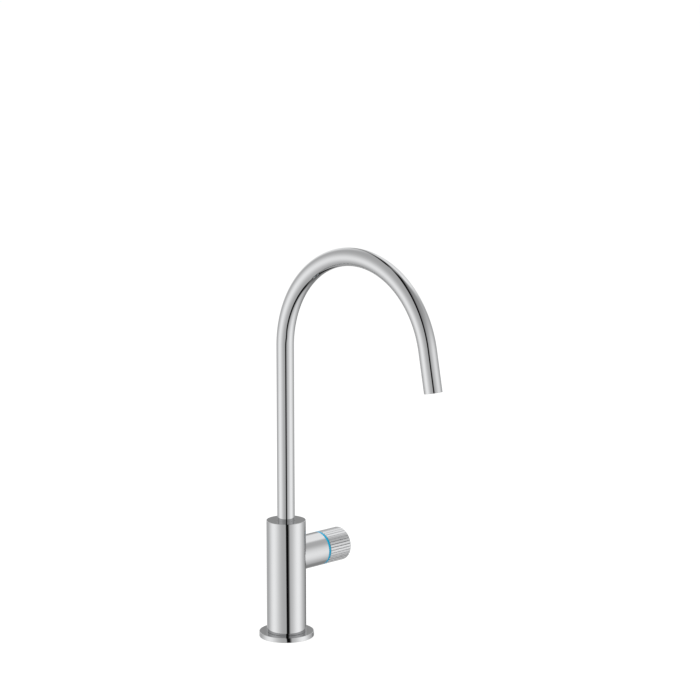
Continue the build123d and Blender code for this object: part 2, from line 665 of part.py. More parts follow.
def make_clamp_pad():
    """Rubber pad against the worktop's underside."""
    return horseshoe(PAD_TOP, CLAMP_PAD_THICKNESS)


def make_clamp_plate():
    """Steel plate under the pad."""
    return horseshoe(PLATE_TOP, CLAMP_PLATE_THICKNESS)


def make_fixing_nut():
    """Hexagon nut that draws the plate up."""
    nut = Pos(STUD_OFFSET, 0, NUT_TOP - NUT_HEIGHT) * extrude(
        RegularPolygon(NUT_FLATS / 2, 6, major_radius=False), amount=NUT_HEIGHT)
    return nut - upright(STUD_DIAMETER / 2 + STATIC_GAP, NUT_TOP - NUT_HEIGHT, NUT_TOP, STUD_OFFSET)


PIECES = {
    "base_flange": make_base_flange,
    "base_seal": make_base_seal,
    "body": make_body,
    "inlet_strainer": make_inlet_strainer,
    "valve_neck": make_valve_neck,
    "indicator_ring": make_indicator_ring,
    "seat_seal": make_seat_seal,
    "fixed_disc": make_fixed_disc,
    "headwork_housing": make_headwork_housing,
    "housing_o_ring": make_housing_o_ring,
    "moving_disc": make_moving_disc,
    "spindle": make_spindle,
    "spindle_glide_washer": make_spindle_glide_washer,
    "spindle_o_rings": make_spindle_o_rings,
    "spindle_circlip": make_spindle_circlip,
    "stop_washer": make_stop_washer,
    "spline_adapter": make_spline_adapter,
    "knob": make_knob,
    "knob_grub_screw": make_knob_grub_screw,
    "spout_tube": make_spout_tube,
    "spout_foot": make_spout_foot,
    "spout_o_rings": make_spout_o_rings,
    "spout_glide_ring": make_spout_glide_ring,
    "spout_thrust_washer": make_spout_thrust_washer,
    "spout_lock_screw": make_spout_lock_screw,
    "outlet_insert": make_outlet_insert,
    "outlet_o_ring": make_outlet_o_ring,
    "flow_straightener": make_flow_straightener,
    "fixing_stud": make_fixing_stud,
    "clamp_pad": make_clamp_pad,
    "clamp_plate": make_clamp_plate,
    "fixing_nut": make_fixing_nut,
}


def main():
    """Build every piece and write it to its own file."""
    os.makedirs("parts", exist_ok=True)
    for name, make in PIECES.items():
        piece = make()
        export_step(piece, f"parts/{name}.step")
        print(name, round(piece.volume, 1))


main()
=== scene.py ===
"""Filtered water kitchen tap with a gooseneck spout, an upright body and a fluted side knob.

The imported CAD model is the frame. The chromed pieces, the coloured ring, the mouth's insert, the screws and
the fixing under the worktop are turned, swept and cut here with smooth surfaces. The inner valve pieces stay
as the CAD made them and get their materials here. Sizes are millimetres until a piece is finished.
"""

from __future__ import annotations

import json
import logging
import math
from collections.abc import Iterable, Mapping, Sequence
from dataclasses import dataclass
from enum import Enum
from typing import NamedTuple

import bmesh  # noqa: E402
import bpy  # noqa: E402
from mathutils import Matrix, Vector  # noqa: E402

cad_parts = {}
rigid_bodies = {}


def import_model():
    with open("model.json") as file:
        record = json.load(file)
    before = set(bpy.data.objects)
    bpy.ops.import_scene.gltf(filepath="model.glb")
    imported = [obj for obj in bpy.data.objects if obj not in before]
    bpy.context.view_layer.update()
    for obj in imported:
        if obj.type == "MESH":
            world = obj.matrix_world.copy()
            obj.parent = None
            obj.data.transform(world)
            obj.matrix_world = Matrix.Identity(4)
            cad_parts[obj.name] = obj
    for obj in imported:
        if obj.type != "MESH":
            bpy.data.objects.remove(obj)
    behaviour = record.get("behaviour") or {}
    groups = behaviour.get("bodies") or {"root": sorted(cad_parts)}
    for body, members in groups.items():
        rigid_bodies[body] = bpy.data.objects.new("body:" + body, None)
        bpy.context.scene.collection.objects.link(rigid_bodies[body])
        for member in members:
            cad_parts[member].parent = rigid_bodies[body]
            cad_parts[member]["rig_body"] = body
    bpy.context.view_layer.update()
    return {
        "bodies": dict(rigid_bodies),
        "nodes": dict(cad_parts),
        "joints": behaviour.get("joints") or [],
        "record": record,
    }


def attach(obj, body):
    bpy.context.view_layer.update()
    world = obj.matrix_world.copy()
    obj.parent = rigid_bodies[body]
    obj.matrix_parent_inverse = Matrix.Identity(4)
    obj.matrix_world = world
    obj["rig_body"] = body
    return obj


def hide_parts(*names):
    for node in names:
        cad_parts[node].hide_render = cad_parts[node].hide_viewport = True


LOG = logging.getLogger("kitchen_tap")

MILLIMETRE = 0.001
MERGE_DISTANCE = 1e-4
WELD_DISTANCE = 1e-3
# Length by which a cutting tool reaches past the surface that it opens.
OVERSHOOT = 1.0
Colour = tuple[float, float, float, float]


# Shader arithmetic


class Value:
    """Output socket of a shader node that takes part in Python arithmetic."""

    def __init__(self, bench: Bench, socket: bpy.types.NodeSocket) -> None:
        """Keep the socket and the bench that its further nodes are made on."""
        self.bench = bench
        self.socket = socket

    def __add__(self, other: Value | float) -> Value:
        """Add a value."""
        return self.bench.math("ADD", self, other)

    def __radd__(self, other: float) -> Value:
        """Add to a number."""
        return self.bench.math("ADD", other, self)

    def __sub__(self, other: Value | float) -> Value:
        """Take a value away."""
        return self.bench.math("SUBTRACT", self, other)

    def __rsub__(self, other: float) -> Value:
        """Take from a number."""
        return self.bench.math("SUBTRACT", other, self)

    def __mul__(self, other: Value | float) -> Value:
        """Multiply by a value."""
        return self.bench.math("MULTIPLY", self, other)

    def __rmul__(self, other: float) -> Value:
        """Multiply a number."""
        return self.bench.math("MULTIPLY", other, self)

    def __truediv__(self, other: Value | float) -> Value:
        """Divide by a value."""
        return self.bench.math("DIVIDE", self, other)

    def __pow__(self, other: Value | float) -> Value:
        """Raise to a power."""
        return self.bench.math("POWER", self, other)

    def __neg__(self) -> Value:
        """Turn the sign round."""
        return self.bench.math("MULTIPLY", self, -1.0)

    def larger(self, other: Value | float) -> Value:
        """Take the larger of two values."""
        return self.bench.math("MAXIMUM", self, other)

    def exponential(self) -> Value:
        """Raise Euler's number to this value."""
        return self.bench.math("EXPONENT", self)

    def wrapped(self, low: float, high: float) -> Value:
        """Bring a turning value back between two ends."""
        return self.bench.math("WRAP", self, high, low)

    def rise(self, low: float, high: float, start: float = 0.0, end: float = 1.0) -> Value:
        """Go smoothly from one level to another while this value crosses a range.

        Args:
            low: Value where the rise starts.
            high: Value where it ends.
            start: Level up to the start.
            end: Level from the end on.

        Returns:
            The level.
        """
        sockets = {"Value": self, "From Min": low, "From Max": high, "To Min": start, "To Max": end}
        return self.bench.value("ShaderNodeMapRange", {"interpolation_type": "SMOOTHSTEP"}, sockets)


@dataclass(frozen=True)
class Pattern:
    """Soft noise: number of waves in a metre, number of finer layers, and their strength."""

    waves: float
    layers: float = 2.0
    strength: float = 0.5


class Bench:
    """Node tree on which a material or the studio is put together."""

    def __init__(self, tree: bpy.types.NodeTree) -> None:
        """Start with an empty tree."""
        self.tree = tree
        tree.nodes.clear()

    def node(
        self,
        kind: str,
        settings: Mapping[str, object] | None = None,
        sockets: Mapping[int | str, object] | None = None,
    ) -> bpy.types.Node:
        """Make a node.

        Args:
            kind: Blender's name of the node type.
            settings: Its options, which are set first.
            sockets: Numbers, colours or links of its inputs, by name or place.

        Returns:
            The node.
        """
        made = self.tree.nodes.new(kind)
        for name, setting in (settings or {}).items():
            setattr(made, name, setting)
        for key, content in (sockets or {}).items():
            if isinstance(content, Value):
                self.tree.links.new(content.socket, made.inputs[key])
            else:
                made.inputs[key].default_value = content
        return made

    def value(
        self,
        kind: str,
        settings: Mapping[str, object] | None = None,
        sockets: Mapping[int | str, object] | None = None,
        output: int | str = 0,
    ) -> Value:
        """Make a node and take one of its outputs.

        Args:
            kind: Blender's name of the node type.
            settings: Its options.
            sockets: Numbers, colours or links of its inputs.
            output: Name or place of the output.

        Returns:
            The output, ready for arithmetic.
        """
        return Value(self, self.node(kind, settings, sockets).outputs[output])

    def math(self, operation: str, *operands: Value | float) -> Value:
        """Make a Math node."""
        return self.value("ShaderNodeMath", {"operation": operation}, dict(enumerate(operands)))

    def vector_math(self, operation: str, *operands: object, output: str = "Vector") -> Value:
        """Make a Vector Math node."""
        return self.value("ShaderNodeVectorMath", {"operation": operation}, dict(enumerate(operands)), output)

    def blend(self, factor: Value | float, first: object, second: object) -> Value:
        """Mix two colours."""
        sockets = {0: factor, 6: first, 7: second}
        return self.value("ShaderNodeMix", {"data_type": "RGBA", "clamp_factor": True}, sockets, 2)

    def place(self) -> Value:
        """Read the point on the piece, in metres."""
        return self.value("ShaderNodeTexCoord", output="Object")

    def parts(self, vector: Value) -> tuple[Value, Value, Value]:
        """Split a vector into its three numbers."""
        split = self.node("ShaderNodeSeparateXYZ", sockets={0: vector})
        return Value(self, split.outputs[0]), Value(self, split.outputs[1]), Value(self, split.outputs[2])

    def rays(self, *kinds: str) -> tuple[Value, ...]:
        """Tell by 1 or 0, for each kind of ray, whether the light path is of that kind."""
        path = self.node("ShaderNodeLightPath")
        return tuple(Value(self, path.outputs[kind]) for kind in kinds)

    def noise(self, vector: Value, pattern: Pattern) -> Value:
        """Make soft noise from 0 to 1.

        Args:
            vector: Where it is read.
            pattern: Its fineness.

        Returns:
            The noise's level.
        """
        sockets = {
            "Vector": vector,
            "Scale": pattern.waves,
            "Detail": pattern.layers,
            "Roughness": pattern.strength,
        }
        return self.value("ShaderNodeTexNoise", sockets=sockets, output="Fac")

    def bump(self, height: Value, distance: float) -> Value:
        """Raise and lower the surface's shading by a height given in metres."""
        sockets = {"Strength": 1.0, "Distance": distance, "Height": height}
        return self.value("ShaderNodeBump", sockets=sockets)


# Finishes


class Slot(Enum):
    """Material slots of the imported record."""

    CHROME = "chrome"
    BLUE_PLASTIC = "blue_plastic"
    BRASS = "brass"
    CERAMIC = "ceramic"
    RUBBER = "rubber"
    WHITE_PLASTIC = "white_plastic"
    STEEL = "steel"


class TurningLine(Enum):
    """Direction of the line that a piece was turned about."""

    UPRIGHT = "upright"
    SIDEWAYS = "sideways"


class Finish:
    """Surface finish that dresses pieces with one material."""

    name: str = "finish"

    def look(self, bench: Bench) -> dict[str, object]:
        """Give the shader's socket values and links."""
        raise NotImplementedError

    def material(self) -> bpy.types.Material:
        """Put the finish together.

        Returns:
            The material.
        """
        made = bpy.data.materials.new(self.name)
        made.use_nodes = True
        bench = Bench(made.node_tree)
        surface = bench.value("ShaderNodeBsdfPrincipled", sockets=self.look(bench), output="BSDF")
        bench.node("ShaderNodeOutputMaterial", sockets={"Surface": surface})
        return made


@dataclass(frozen=True)
class Hairlines:
    """Fine scratches in one direction: noise that is turned, drawn out and kept above a threshold."""

    turn: tuple[float, float, float]
    stretch: tuple[float, float, float]
    pattern: Pattern
    threshold: tuple[float, float]

    def level(self, bench: Bench, place: Value) -> Value:
        """Give the scratches' strength at a point."""
        sockets = {"Vector": place, "Rotation": self.turn, "Scale": self.stretch}
        drawn_out = bench.value("ShaderNodeMapping", sockets=sockets)
        return bench.noise(drawn_out, self.pattern).rise(*self.threshold)


@dataclass(frozen=True)
class PolishedChrome(Finish):
    """Bright chrome plate: faint ripple of the brass below, a breath of haze and hairline scratches."""

    name: str = "polished_chrome"
    bright: Colour = (0.608, 0.612, 0.619, 1.0)
    dull: Colour = (0.591, 0.596, 0.603, 1.0)
    edge_tint: Colour = (0.67, 0.67, 0.67, 1.0)
    cloud: Pattern = Pattern(55.0, 3.0)
    grain: Pattern = Pattern(2400.0, 4.0, 0.7)
    slanted: Hairlines = Hairlines((0.5, 0.9, 0.3), (9.0, 9.0, 0.35), Pattern(420.0), (0.72, 0.78))
    crossed: Hairlines = Hairlines((1.9, 0.2, 1.4), (0.3, 8.0, 8.0), Pattern(380.0), (0.73, 0.79))
    roughness_floor: float = 0.028
    haze: float = 0.02
    scratch_haze: float = 0.035
    ripple: Pattern = Pattern(160.0, 1.0)
    ripple_height: float = 1.0e-6

    def look(self, bench: Bench) -> dict[str, object]:
        """Give the shader's socket values and links."""
        place = bench.place()
        cloud = bench.noise(place, self.cloud)
        grain = bench.noise(place, self.grain)
        hairlines = self.slanted.level(bench, place).larger(self.crossed.level(bench, place))
        return {
            "Base Color": bench.blend(cloud, self.bright, self.dull),
            "Specular Tint": self.edge_tint,
            "Metallic": 1.0,
            "Roughness": self.roughness_floor + self.haze * (cloud * grain) + self.scratch_haze * hairlines,
            "Normal": bench.bump(bench.noise(place, self.ripple), self.ripple_height),
        }


@dataclass(frozen=True)
class GlossyBluePlastic(Finish):
    """Glossy coloured plastic of the ring that marks filtered water."""

    name: str = "glossy_blue_plastic"
    light: Colour = (0.003, 0.44, 0.71, 1.0)
    deep: Colour = (0.002, 0.39, 0.63, 1.0)
    flow: Pattern = Pattern(180.0, 3.0)
    grain: Pattern = Pattern(5200.0)
    roughness_floor: float = 0.16
    grain_haze: float = 0.1
    flow_haze: float = 0.05
    refraction: float = 1.49
    reflection: float = 0.25
    grain_height: float = 1.5e-6

    def look(self, bench: Bench) -> dict[str, object]:
        """Give the shader's socket values and links."""
        place = bench.place()
        flow = bench.noise(place, self.flow)
        grain = bench.noise(place, self.grain)
        return {
            "Base Color": bench.blend(flow, self.light, self.deep),
            "Roughness": self.roughness_floor + self.grain_haze * grain + self.flow_haze * flow,
            "IOR": self.refraction,
            "Specular IOR Level": self.reflection,
            "Normal": bench.bump(grain, self.grain_height),
        }


@dataclass(frozen=True)
class TurnedBrass(Finish):
    """Machined brass with fine turning rings and a slight patina."""

    name: str = "turned_brass"
    line: TurningLine = TurningLine.SIDEWAYS
    line_height: float = 0.0744
    fresh: Colour = (0.80, 0.61, 0.30, 1.0)
    tanned: Colour = (0.66, 0.46, 0.21, 1.0)
    rings: Pattern = Pattern(5200.0, 2.0, 0.6)
    patina: Pattern = Pattern(240.0, 4.0, 0.6)
    patina_threshold: tuple[float, float] = (0.35, 0.75)
    roughness_floor: float = 0.2
    ring_haze: float = 0.14
    patina_haze: float = 0.12
    ring_height: float = 4e-6

    def look(self, bench: Bench) -> dict[str, object]:
        """Give the shader's socket values and links."""
        place = bench.place()
        x, y, z = bench.parts(place)
        if self.line is TurningLine.SIDEWAYS:
            lift = z - self.line_height
            radius, along = (y * y + lift * lift) ** 0.5, x
        else:
            radius, along = (x * x + y * y) ** 0.5, z
        rings_place = bench.value("ShaderNodeCombineXYZ", sockets={0: radius, 1: along})
        rings = bench.noise(rings_place, self.rings)
        patina = bench.noise(place, self.patina).rise(*self.patina_threshold)
        return {
            "Base Color": bench.blend(patina, self.fresh, self.tanned),
            "Metallic": 1.0,
            "Roughness": self.roughness_floor + self.ring_haze * rings + self.patina_haze * patina,
            "Normal": bench.bump(rings, self.ring_height),
        }


@dataclass(frozen=True)
class LappedCeramic(Finish):
    """Hard ceramic, lapped nearly to a mirror, with a faint speckle of its grain."""

    name: str = "lapped_ceramic"
    pale: Colour = (0.93, 0.92, 0.89, 1.0)
    speck: Colour = (0.84, 0.82, 0.78, 1.0)
    speckle: Pattern = Pattern(2600.0, 5.0, 0.7)
    speckle_threshold: tuple[float, float] = (0.52, 0.74)
    roughness_floor: float = 0.12
    speck_haze: float = 0.1
    refraction: float = 1.76
    speck_height: float = 6e-7

    def look(self, bench: Bench) -> dict[str, object]:
        """Give the shader's socket values and links."""
        specks = bench.noise(bench.place(), self.speckle).rise(*self.speckle_threshold)
        return {
            "Base Color": bench.blend(specks, self.pale, self.speck),
            "Roughness": self.roughness_floor + self.speck_haze * specks,
            "IOR": self.refraction,
            "Normal": bench.bump(specks, self.speck_height),
        }


@dataclass(frozen=True)
class MattRubber(Finish):
    """Black sealing rubber with a fine moulded grain and a little bloom on its surface."""

    name: str = "matt_rubber"
    black: Colour = (0.022, 0.022, 0.023, 1.0)
    bloom: Colour = (0.06, 0.06, 0.062, 1.0)
    patches: Pattern = Pattern(160.0, 4.0, 0.6)
    patch_threshold: tuple[float, float] = (0.4, 0.8)
    bloom_share: float = 0.7
    grain: Pattern = Pattern(3800.0, 3.0, 0.6)
    roughness_floor: float = 0.62
    grain_haze: float = 0.2
    grain_height: float = 1.4e-5

    def look(self, bench: Bench) -> dict[str, object]:
        """Give the shader's socket values and links."""
        place = bench.place()
        patches = bench.noise(place, self.patches).rise(*self.patch_threshold)
        grain = bench.noise(place, self.grain)
        return {
            "Base Color": bench.blend(self.bloom_share * patches, self.black, self.bloom),
            "Roughness": self.roughness_floor + self.grain_haze * grain,
            "Normal": bench.bump(grain, self.grain_height),
        }


@dataclass(frozen=True)
class MouldedWhitePlastic(Finish):
    """White engineering plastic with a fine spark-eroded grain and faint flow marks."""

    name: str = "moulded_white_plastic"
    pale: Colour = (0.85, 0.85, 0.83, 1.0)
    shaded: Colour = (0.79, 0.79, 0.76, 1.0)
    flow: Pattern = Pattern(130.0, 3.0)
    grain: Pattern = Pattern(4200.0, 3.0, 0.6)
    roughness_floor: float = 0.36
    grain_haze: float = 0.16
    refraction: float = 1.48
    grain_height: float = 5e-6

    def look(self, bench: Bench) -> dict[str, object]:
        """Give the shader's socket values and links."""
        place = bench.place()
        grain = bench.noise(place, self.grain)
        return {
            "Base Color": bench.blend(bench.noise(place, self.flow), self.pale, self.shaded),
            "Roughness": self.roughness_floor + self.grain_haze * grain,
            "IOR": self.refraction,
            "Normal": bench.bump(grain, self.grain_height),
        }


@dataclass(frozen=True)
class ZincPlatedSteel(Finish):
    """Zinc plated steel: cool grey with cloudy patches, fine crystals and light handling marks."""

    name: str = "zinc_plated_steel"
    bright: Colour = (0.62, 0.625, 0.64, 1.0)
    dull: Colour = (0.47, 0.475, 0.48, 1.0)
    cloud: Pattern = Pattern(210.0, 4.0, 0.6)
    cloud_threshold: tuple[float, float] = (0.3, 0.75)
    crystals_in_a_metre: float = 1900.0
    roughness_floor: float = 0.26
    cloud_haze: float = 0.16
    crystal_haze: float = 0.1
    crystal_height: float = 3e-6

    def look(self, bench: Bench) -> dict[str, object]:
        """Give the shader's socket values and links."""
        place = bench.place()
        cloud = bench.noise(place, self.cloud).rise(*self.cloud_threshold)
        sockets = {"Vector": place, "Scale": self.crystals_in_a_metre}
        crystals = bench.value("ShaderNodeTexVoronoi", sockets=sockets, output="Distance")
        return {
            "Base Color": bench.blend(cloud, self.bright, self.dull),
            "Metallic": 1.0,
            "Roughness": self.roughness_floor + self.cloud_haze * cloud + self.crystal_haze * crystals,
            "Normal": bench.bump(crystals, self.crystal_height),
        }


# Shaping


class Corner(NamedTuple):
    """Corner of a turned outline: distance from the line, place along it, and rounding."""

    radius: float
    along: float
    rounding: float = 0.0


UPRIGHT = Matrix.Identity(4)


def sideways(height: float) -> Matrix:
    """Place a turned piece on a level line towards the knob."""
    return Matrix.Translation((0.0, 0.0, height)) @ Matrix.Rotation(math.pi / 2, 4, "Y")


class Blank:
    """Mesh under work, in millimetres, that starts from a few vertices or a plain shape."""

    ROUNDING_SEGMENTS = 3
    THREAD_FACES = 32
    ROUNDED_ANGLE = math.radians(35.0)
    CRISP_ANGLE = math.radians(40.0)

    def __init__(self) -> None:
        """Start with nothing."""
        self.bm = bmesh.new()

    @classmethod
    def turned(cls, outline: Sequence[Corner], segments: int = 96, place: Matrix = UPRIGHT) -> Blank:
        """Turn an outline about a line.

        Args:
            outline: Corners in order. An outline that touches the line is open there.
            segments: Number of faces in a full turn.
            place: Where the turning line lies.

        Returns:
            The turned solid.
        """
        blank = cls()
        corners = [blank.bm.verts.new((corner.radius, 0.0, corner.along)) for corner in outline]
        ring = all(corner.radius > 0 for corner in outline)
        follows = corners[1:] + corners[:1] if ring else corners[1:]
        for start, end in zip(corners, follows):
            blank.bm.edges.new((start, end))
        for vertex, corner in zip(corners, outline):
            if corner.rounding:
                blank.round_corner([vertex], corner.rounding)
        bmesh.ops.spin(
            blank.bm,
            geom=blank.bm.verts[:] + blank.bm.edges[:],
            cent=(0.0, 0.0, 0.0),
            axis=(0.0, 0.0, 1.0),
            angle=math.tau,
            steps=segments,
            use_merge=True,
        )
        return blank.closed().moved(place)

    @classmethod
    def rod(
        cls, radius: float, start: float, end: float, place: Matrix = UPRIGHT, segments: int = 64
    ) -> Blank:
        """Make a plain round tool between two places along its line."""
        outline = [Corner(0.0, start), Corner(radius, start), Corner(radius, end), Corner(0.0, end)]
        return cls.turned(outline, segments, place)

    @classmethod
    def hexagon(cls, across_flats: float, start: float, end: float) -> Blank:
        """Make a hexagonal bar between two places along its line."""
        blank = cls()
        radius = across_flats / math.sqrt(3)
        middle = Matrix.Translation((0.0, 0.0, (start + end) / 2))
        bmesh.ops.create_cone(
            blank.bm,
            cap_ends=True,
            segments=6,
            radius1=radius,
            radius2=radius,
            depth=end - start,
            matrix=middle @ Matrix.Rotation(math.pi / 2, 4, "Z"),
        )
        return blank

    @classmethod
    def threaded(cls, radius: float, root: float, pitch: float, start: float, end: float) -> Blank:
        """Wind a thread into a bar.

        Args:
            radius: Crest radius.
            root: Root radius.
            pitch: Rise of one turn.
            start: Lower end.
            end: Upper end.

        Returns:
            The threaded bar about the Z axis, cut square at both ends.
        """
        blank = cls()
        crest_start, crest_end, root_start = 0.32 * pitch, 0.46 * pitch, 0.78 * pitch
        flank = [(root, 0.0), (radius, crest_start), (radius, crest_end), (root, root_start), (root, pitch)]
        corners = [blank.bm.verts.new((reach, 0.0, start - pitch + rise)) for reach, rise in flank]
        for lower, upper in zip(corners, corners[1:]):
            blank.bm.edges.new((lower, upper))
        turns = math.ceil((end - start) / pitch) + 1
        bmesh.ops.spin(
            blank.bm,
            geom=blank.bm.verts[:] + blank.bm.edges[:],
            cent=(0.0, 0.0, 0.0),
            axis=(0.0, 0.0, 1.0),
            dvec=(0.0, 0.0, pitch / cls.THREAD_FACES),
            angle=math.tau * turns,
            steps=cls.THREAD_FACES * turns,
        )
        bmesh.ops.remove_doubles(blank.bm, verts=blank.bm.verts[:], dist=WELD_DISTANCE)
        for height, direction in ((start, -1.0), (end, 1.0)):
            bmesh.ops.bisect_plane(
                blank.bm,
                geom=blank.bm.verts[:] + blank.bm.edges[:] + blank.bm.faces[:],
                plane_co=(0.0, 0.0, height),
                plane_no=(0.0, 0.0, direction),
                clear_outer=True,
                dist=MERGE_DISTANCE,
            )
        open_edges = [edge for edge in blank.bm.edges if len(edge.link_faces) == 1]
        bmesh.ops.holes_fill(blank.bm, edges=open_edges, sides=0)
        return blank.closed()

    def closed(self) -> Blank:
        """Merge doubled vertices and turn all faces outwards."""
        bmesh.ops.remove_doubles(self.bm, verts=self.bm.verts[:], dist=MERGE_DISTANCE)
        bmesh.ops.recalc_face_normals(self.bm, faces=self.bm.faces[:])
        return self

    def moved(self, place: Matrix) -> Blank:
        """Bring the whole blank to its place."""
        bmesh.ops.transform(self.bm, matrix=place, verts=self.bm.verts[:])
        return self

    def round_corner(self, corners: Iterable[bmesh.types.BMVert], size: float) -> None:
        """Round corners of an outline that has no faces yet."""
        bmesh.ops.bevel(
            self.bm,
            geom=list(corners),
            offset=size,
            offset_type="OFFSET",
            affect="VERTICES",
            segments=self.ROUNDING_SEGMENTS,
            profile=0.5,
            material=-1,
        )

    def round_edges(self, size: float, edges: Iterable[bmesh.types.BMEdge] | None = None) -> Blank:
        """Round edges between faces.

        Args:
            size: Radius of the rounding.
            edges: Edges to round, or every edge that turns by more than the rounded angle.

        Returns:
            The same blank.
        """
        if edges is None:
            edges = [edge for edge in self.bm.edges if edge.calc_face_angle(0.0) > self.ROUNDED_ANGLE]
        bmesh.ops.bevel(
            self.bm,
            geom=list(edges),
            offset=size,
            offset_type="OFFSET",
            affect="EDGES",
            segments=self.ROUNDING_SEGMENTS,
            profile=0.5,
            material=-1,
            clamp_overlap=True,
        )
        return self

    def drawn_on(self, loops: list[bmesh.types.BMEdge], way: Vector) -> list[bmesh.types.BMEdge]:
        """Extrude loops of edges straight on.

        Args:
            loops: Edges to extrude.
            way: Distance and direction.

        Returns:
            The new edges at the far end.
        """
        made = bmesh.ops.extrude_edge_only(self.bm, edges=loops)["geom"]
        reached = {item for item in made if isinstance(item, bmesh.types.BMVert)}
        bmesh.ops.translate(self.bm, vec=way, verts=list(reached))
        edges = (item for item in made if isinstance(item, bmesh.types.BMEdge))
        return [edge for edge in edges if all(end in reached for end in edge.verts)]

    def _held(self, name: str) -> bpy.types.Object:
        """Put a copy into the scene for a moment."""
        mesh = bpy.data.meshes.new(name)
        self.bm.to_mesh(mesh)
        held = bpy.data.objects.new(name, mesh)
        bpy.context.scene.collection.objects.link(held)
        return held

    def _machined(self, tool: Blank, operation: str) -> Blank:
        """Cut away a tool's shape, or keep only what lies inside it."""
        work, cutter = self._held("work"), tool._held("cutter")
        modifier = work.modifiers.new("machining", "BOOLEAN")
        modifier.operation = operation
        modifier.solver = "EXACT"
        modifier.object = cutter
        graph = bpy.context.evaluated_depsgraph_get()
        result = bpy.data.meshes.new_from_object(work.evaluated_get(graph))
        self.bm.clear()
        self.bm.from_mesh(result)
        for mesh in (work.data, cutter.data, result):
            bpy.data.meshes.remove(mesh)
        tool.bm.free()
        return self

    def cut(self, *tools: Blank) -> Blank:
        """Cut the shapes of tools out of the blank."""
        for tool in tools:
            self._machined(tool, "DIFFERENCE")
        return self

    def trimmed(self, tool: Blank) -> Blank:
        """Keep what lies inside a tool."""
        return self._machined(tool, "INTERSECT")

    def piece(self, name: str) -> bpy.types.Object:
        """Finish the blank as an object in metres, whose edges beyond the crisp angle stay crisp.

        Args:
            name: Name of the piece.

        Returns:
            The object, at the origin.
        """
        bmesh.ops.scale(self.bm, vec=(MILLIMETRE,) * 3, verts=self.bm.verts[:])
        for face in self.bm.faces:
            face.smooth = True
        mesh = bpy.data.meshes.new(name)
        self.bm.to_mesh(mesh)
        self.bm.free()
        mesh.set_sharp_from_angle(angle=self.CRISP_ANGLE)
        made = bpy.data.objects.new(name, mesh)
        bpy.context.scene.collection.objects.link(made)
        shading = made.modifiers.new("even_shading", "WEIGHTED_NORMAL")
        shading.mode = "FACE_AREA"
        shading.weight = 100
        shading.keep_sharp = True
        return made


class Workshop:
    """Gives pieces their finishes and puts them on their CAD bodies."""

    def __init__(self, frame: Mapping[str, object]) -> None:
        """Read the CAD nodes and their slots from the frame."""
        self.nodes: dict[str, bpy.types.Object] = frame["nodes"]
        self.slots = {row["node"]: Slot(row["material_slot"]) for row in frame["record"]["subparts"]}
        upright_brass = TurnedBrass(name="turned_brass_upright", line=TurningLine.UPRIGHT)
        self.upright_brass = upright_brass.material()
        self.materials = {
            Slot.CHROME: PolishedChrome().material(),
            Slot.BLUE_PLASTIC: GlossyBluePlastic().material(),
            Slot.BRASS: TurnedBrass().material(),
            Slot.CERAMIC: LappedCeramic().material(),
            Slot.RUBBER: MattRubber().material(),
            Slot.WHITE_PLASTIC: MouldedWhitePlastic().material(),
            Slot.STEEL: ZincPlatedSteel().material(),
        }

    def install(self, name: str, blank: Blank, node: str, finish: bpy.types.Material | None = None) -> None:
        """Finish a blank as the piece that stands for a CAD node.

        Args:
            name: Name of the piece.
            blank: Its mesh.
            node: CAD node that it stands for.
            finish: Material other than that of the node's slot.
        """
        made = blank.piece(name)
        slot = self.slots[node]
        made.data.materials.append(finish or self.materials[slot])
        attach(made, self.nodes[node]["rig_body"])
        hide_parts(node)
        LOG.info("%s stands for %s: %d faces, %s", name, node, len(made.data.polygons), slot.value)

    def dress(self, node: str, finish: bpy.types.Material | None = None) -> None:
        """Give a CAD node that stays its material."""
        slot = self.slots[node]
        kept = self.nodes[node]
        kept.data.materials.clear()
        kept.data.materials.append(finish or self.materials[slot])
        LOG.info("%s keeps its CAD shape: %s", node, slot.value)


# Sub-assemblies


@dataclass(frozen=True)
class Layout:
    """Measures that several sub-assemblies share."""

    body_radius: float = 18.0
    body_top: float = 108.5
    valve_height: float = 74.4
    neck_radius: float = 15.5
    neck_start: float = 9.0
    neck_spigot: float = 12.9
    tube_radius: float = 8.0
    tube_bore: float = 7.0
    flange_height: float = 4.5
    gap: float = 0.05
    lock_screw_height: float = 99.6
    knob_screw_place: float = 50.0
    screw_radius: float = 2.0
    stud_offset: float = 8.0
    stud_radius: float = 4.0

    def valve_line(self) -> Matrix:
        """Place of the valve's line."""
        return sideways(self.valve_height)

    def lock_screw_line(self) -> Matrix:
        """Place of the spout's lock screw, towards the rear."""
        return Matrix.Translation((0.0, 0.0, self.lock_screw_height)) @ Matrix.Rotation(-math.pi / 2, 4, "X")

    def knob_screw_line(self) -> Matrix:
        """Place of the knob's grub screw, downwards."""
        centre = Matrix.Translation((self.knob_screw_place, 0.0, self.valve_height))
        return centre @ Matrix.Rotation(math.pi, 4, "X")


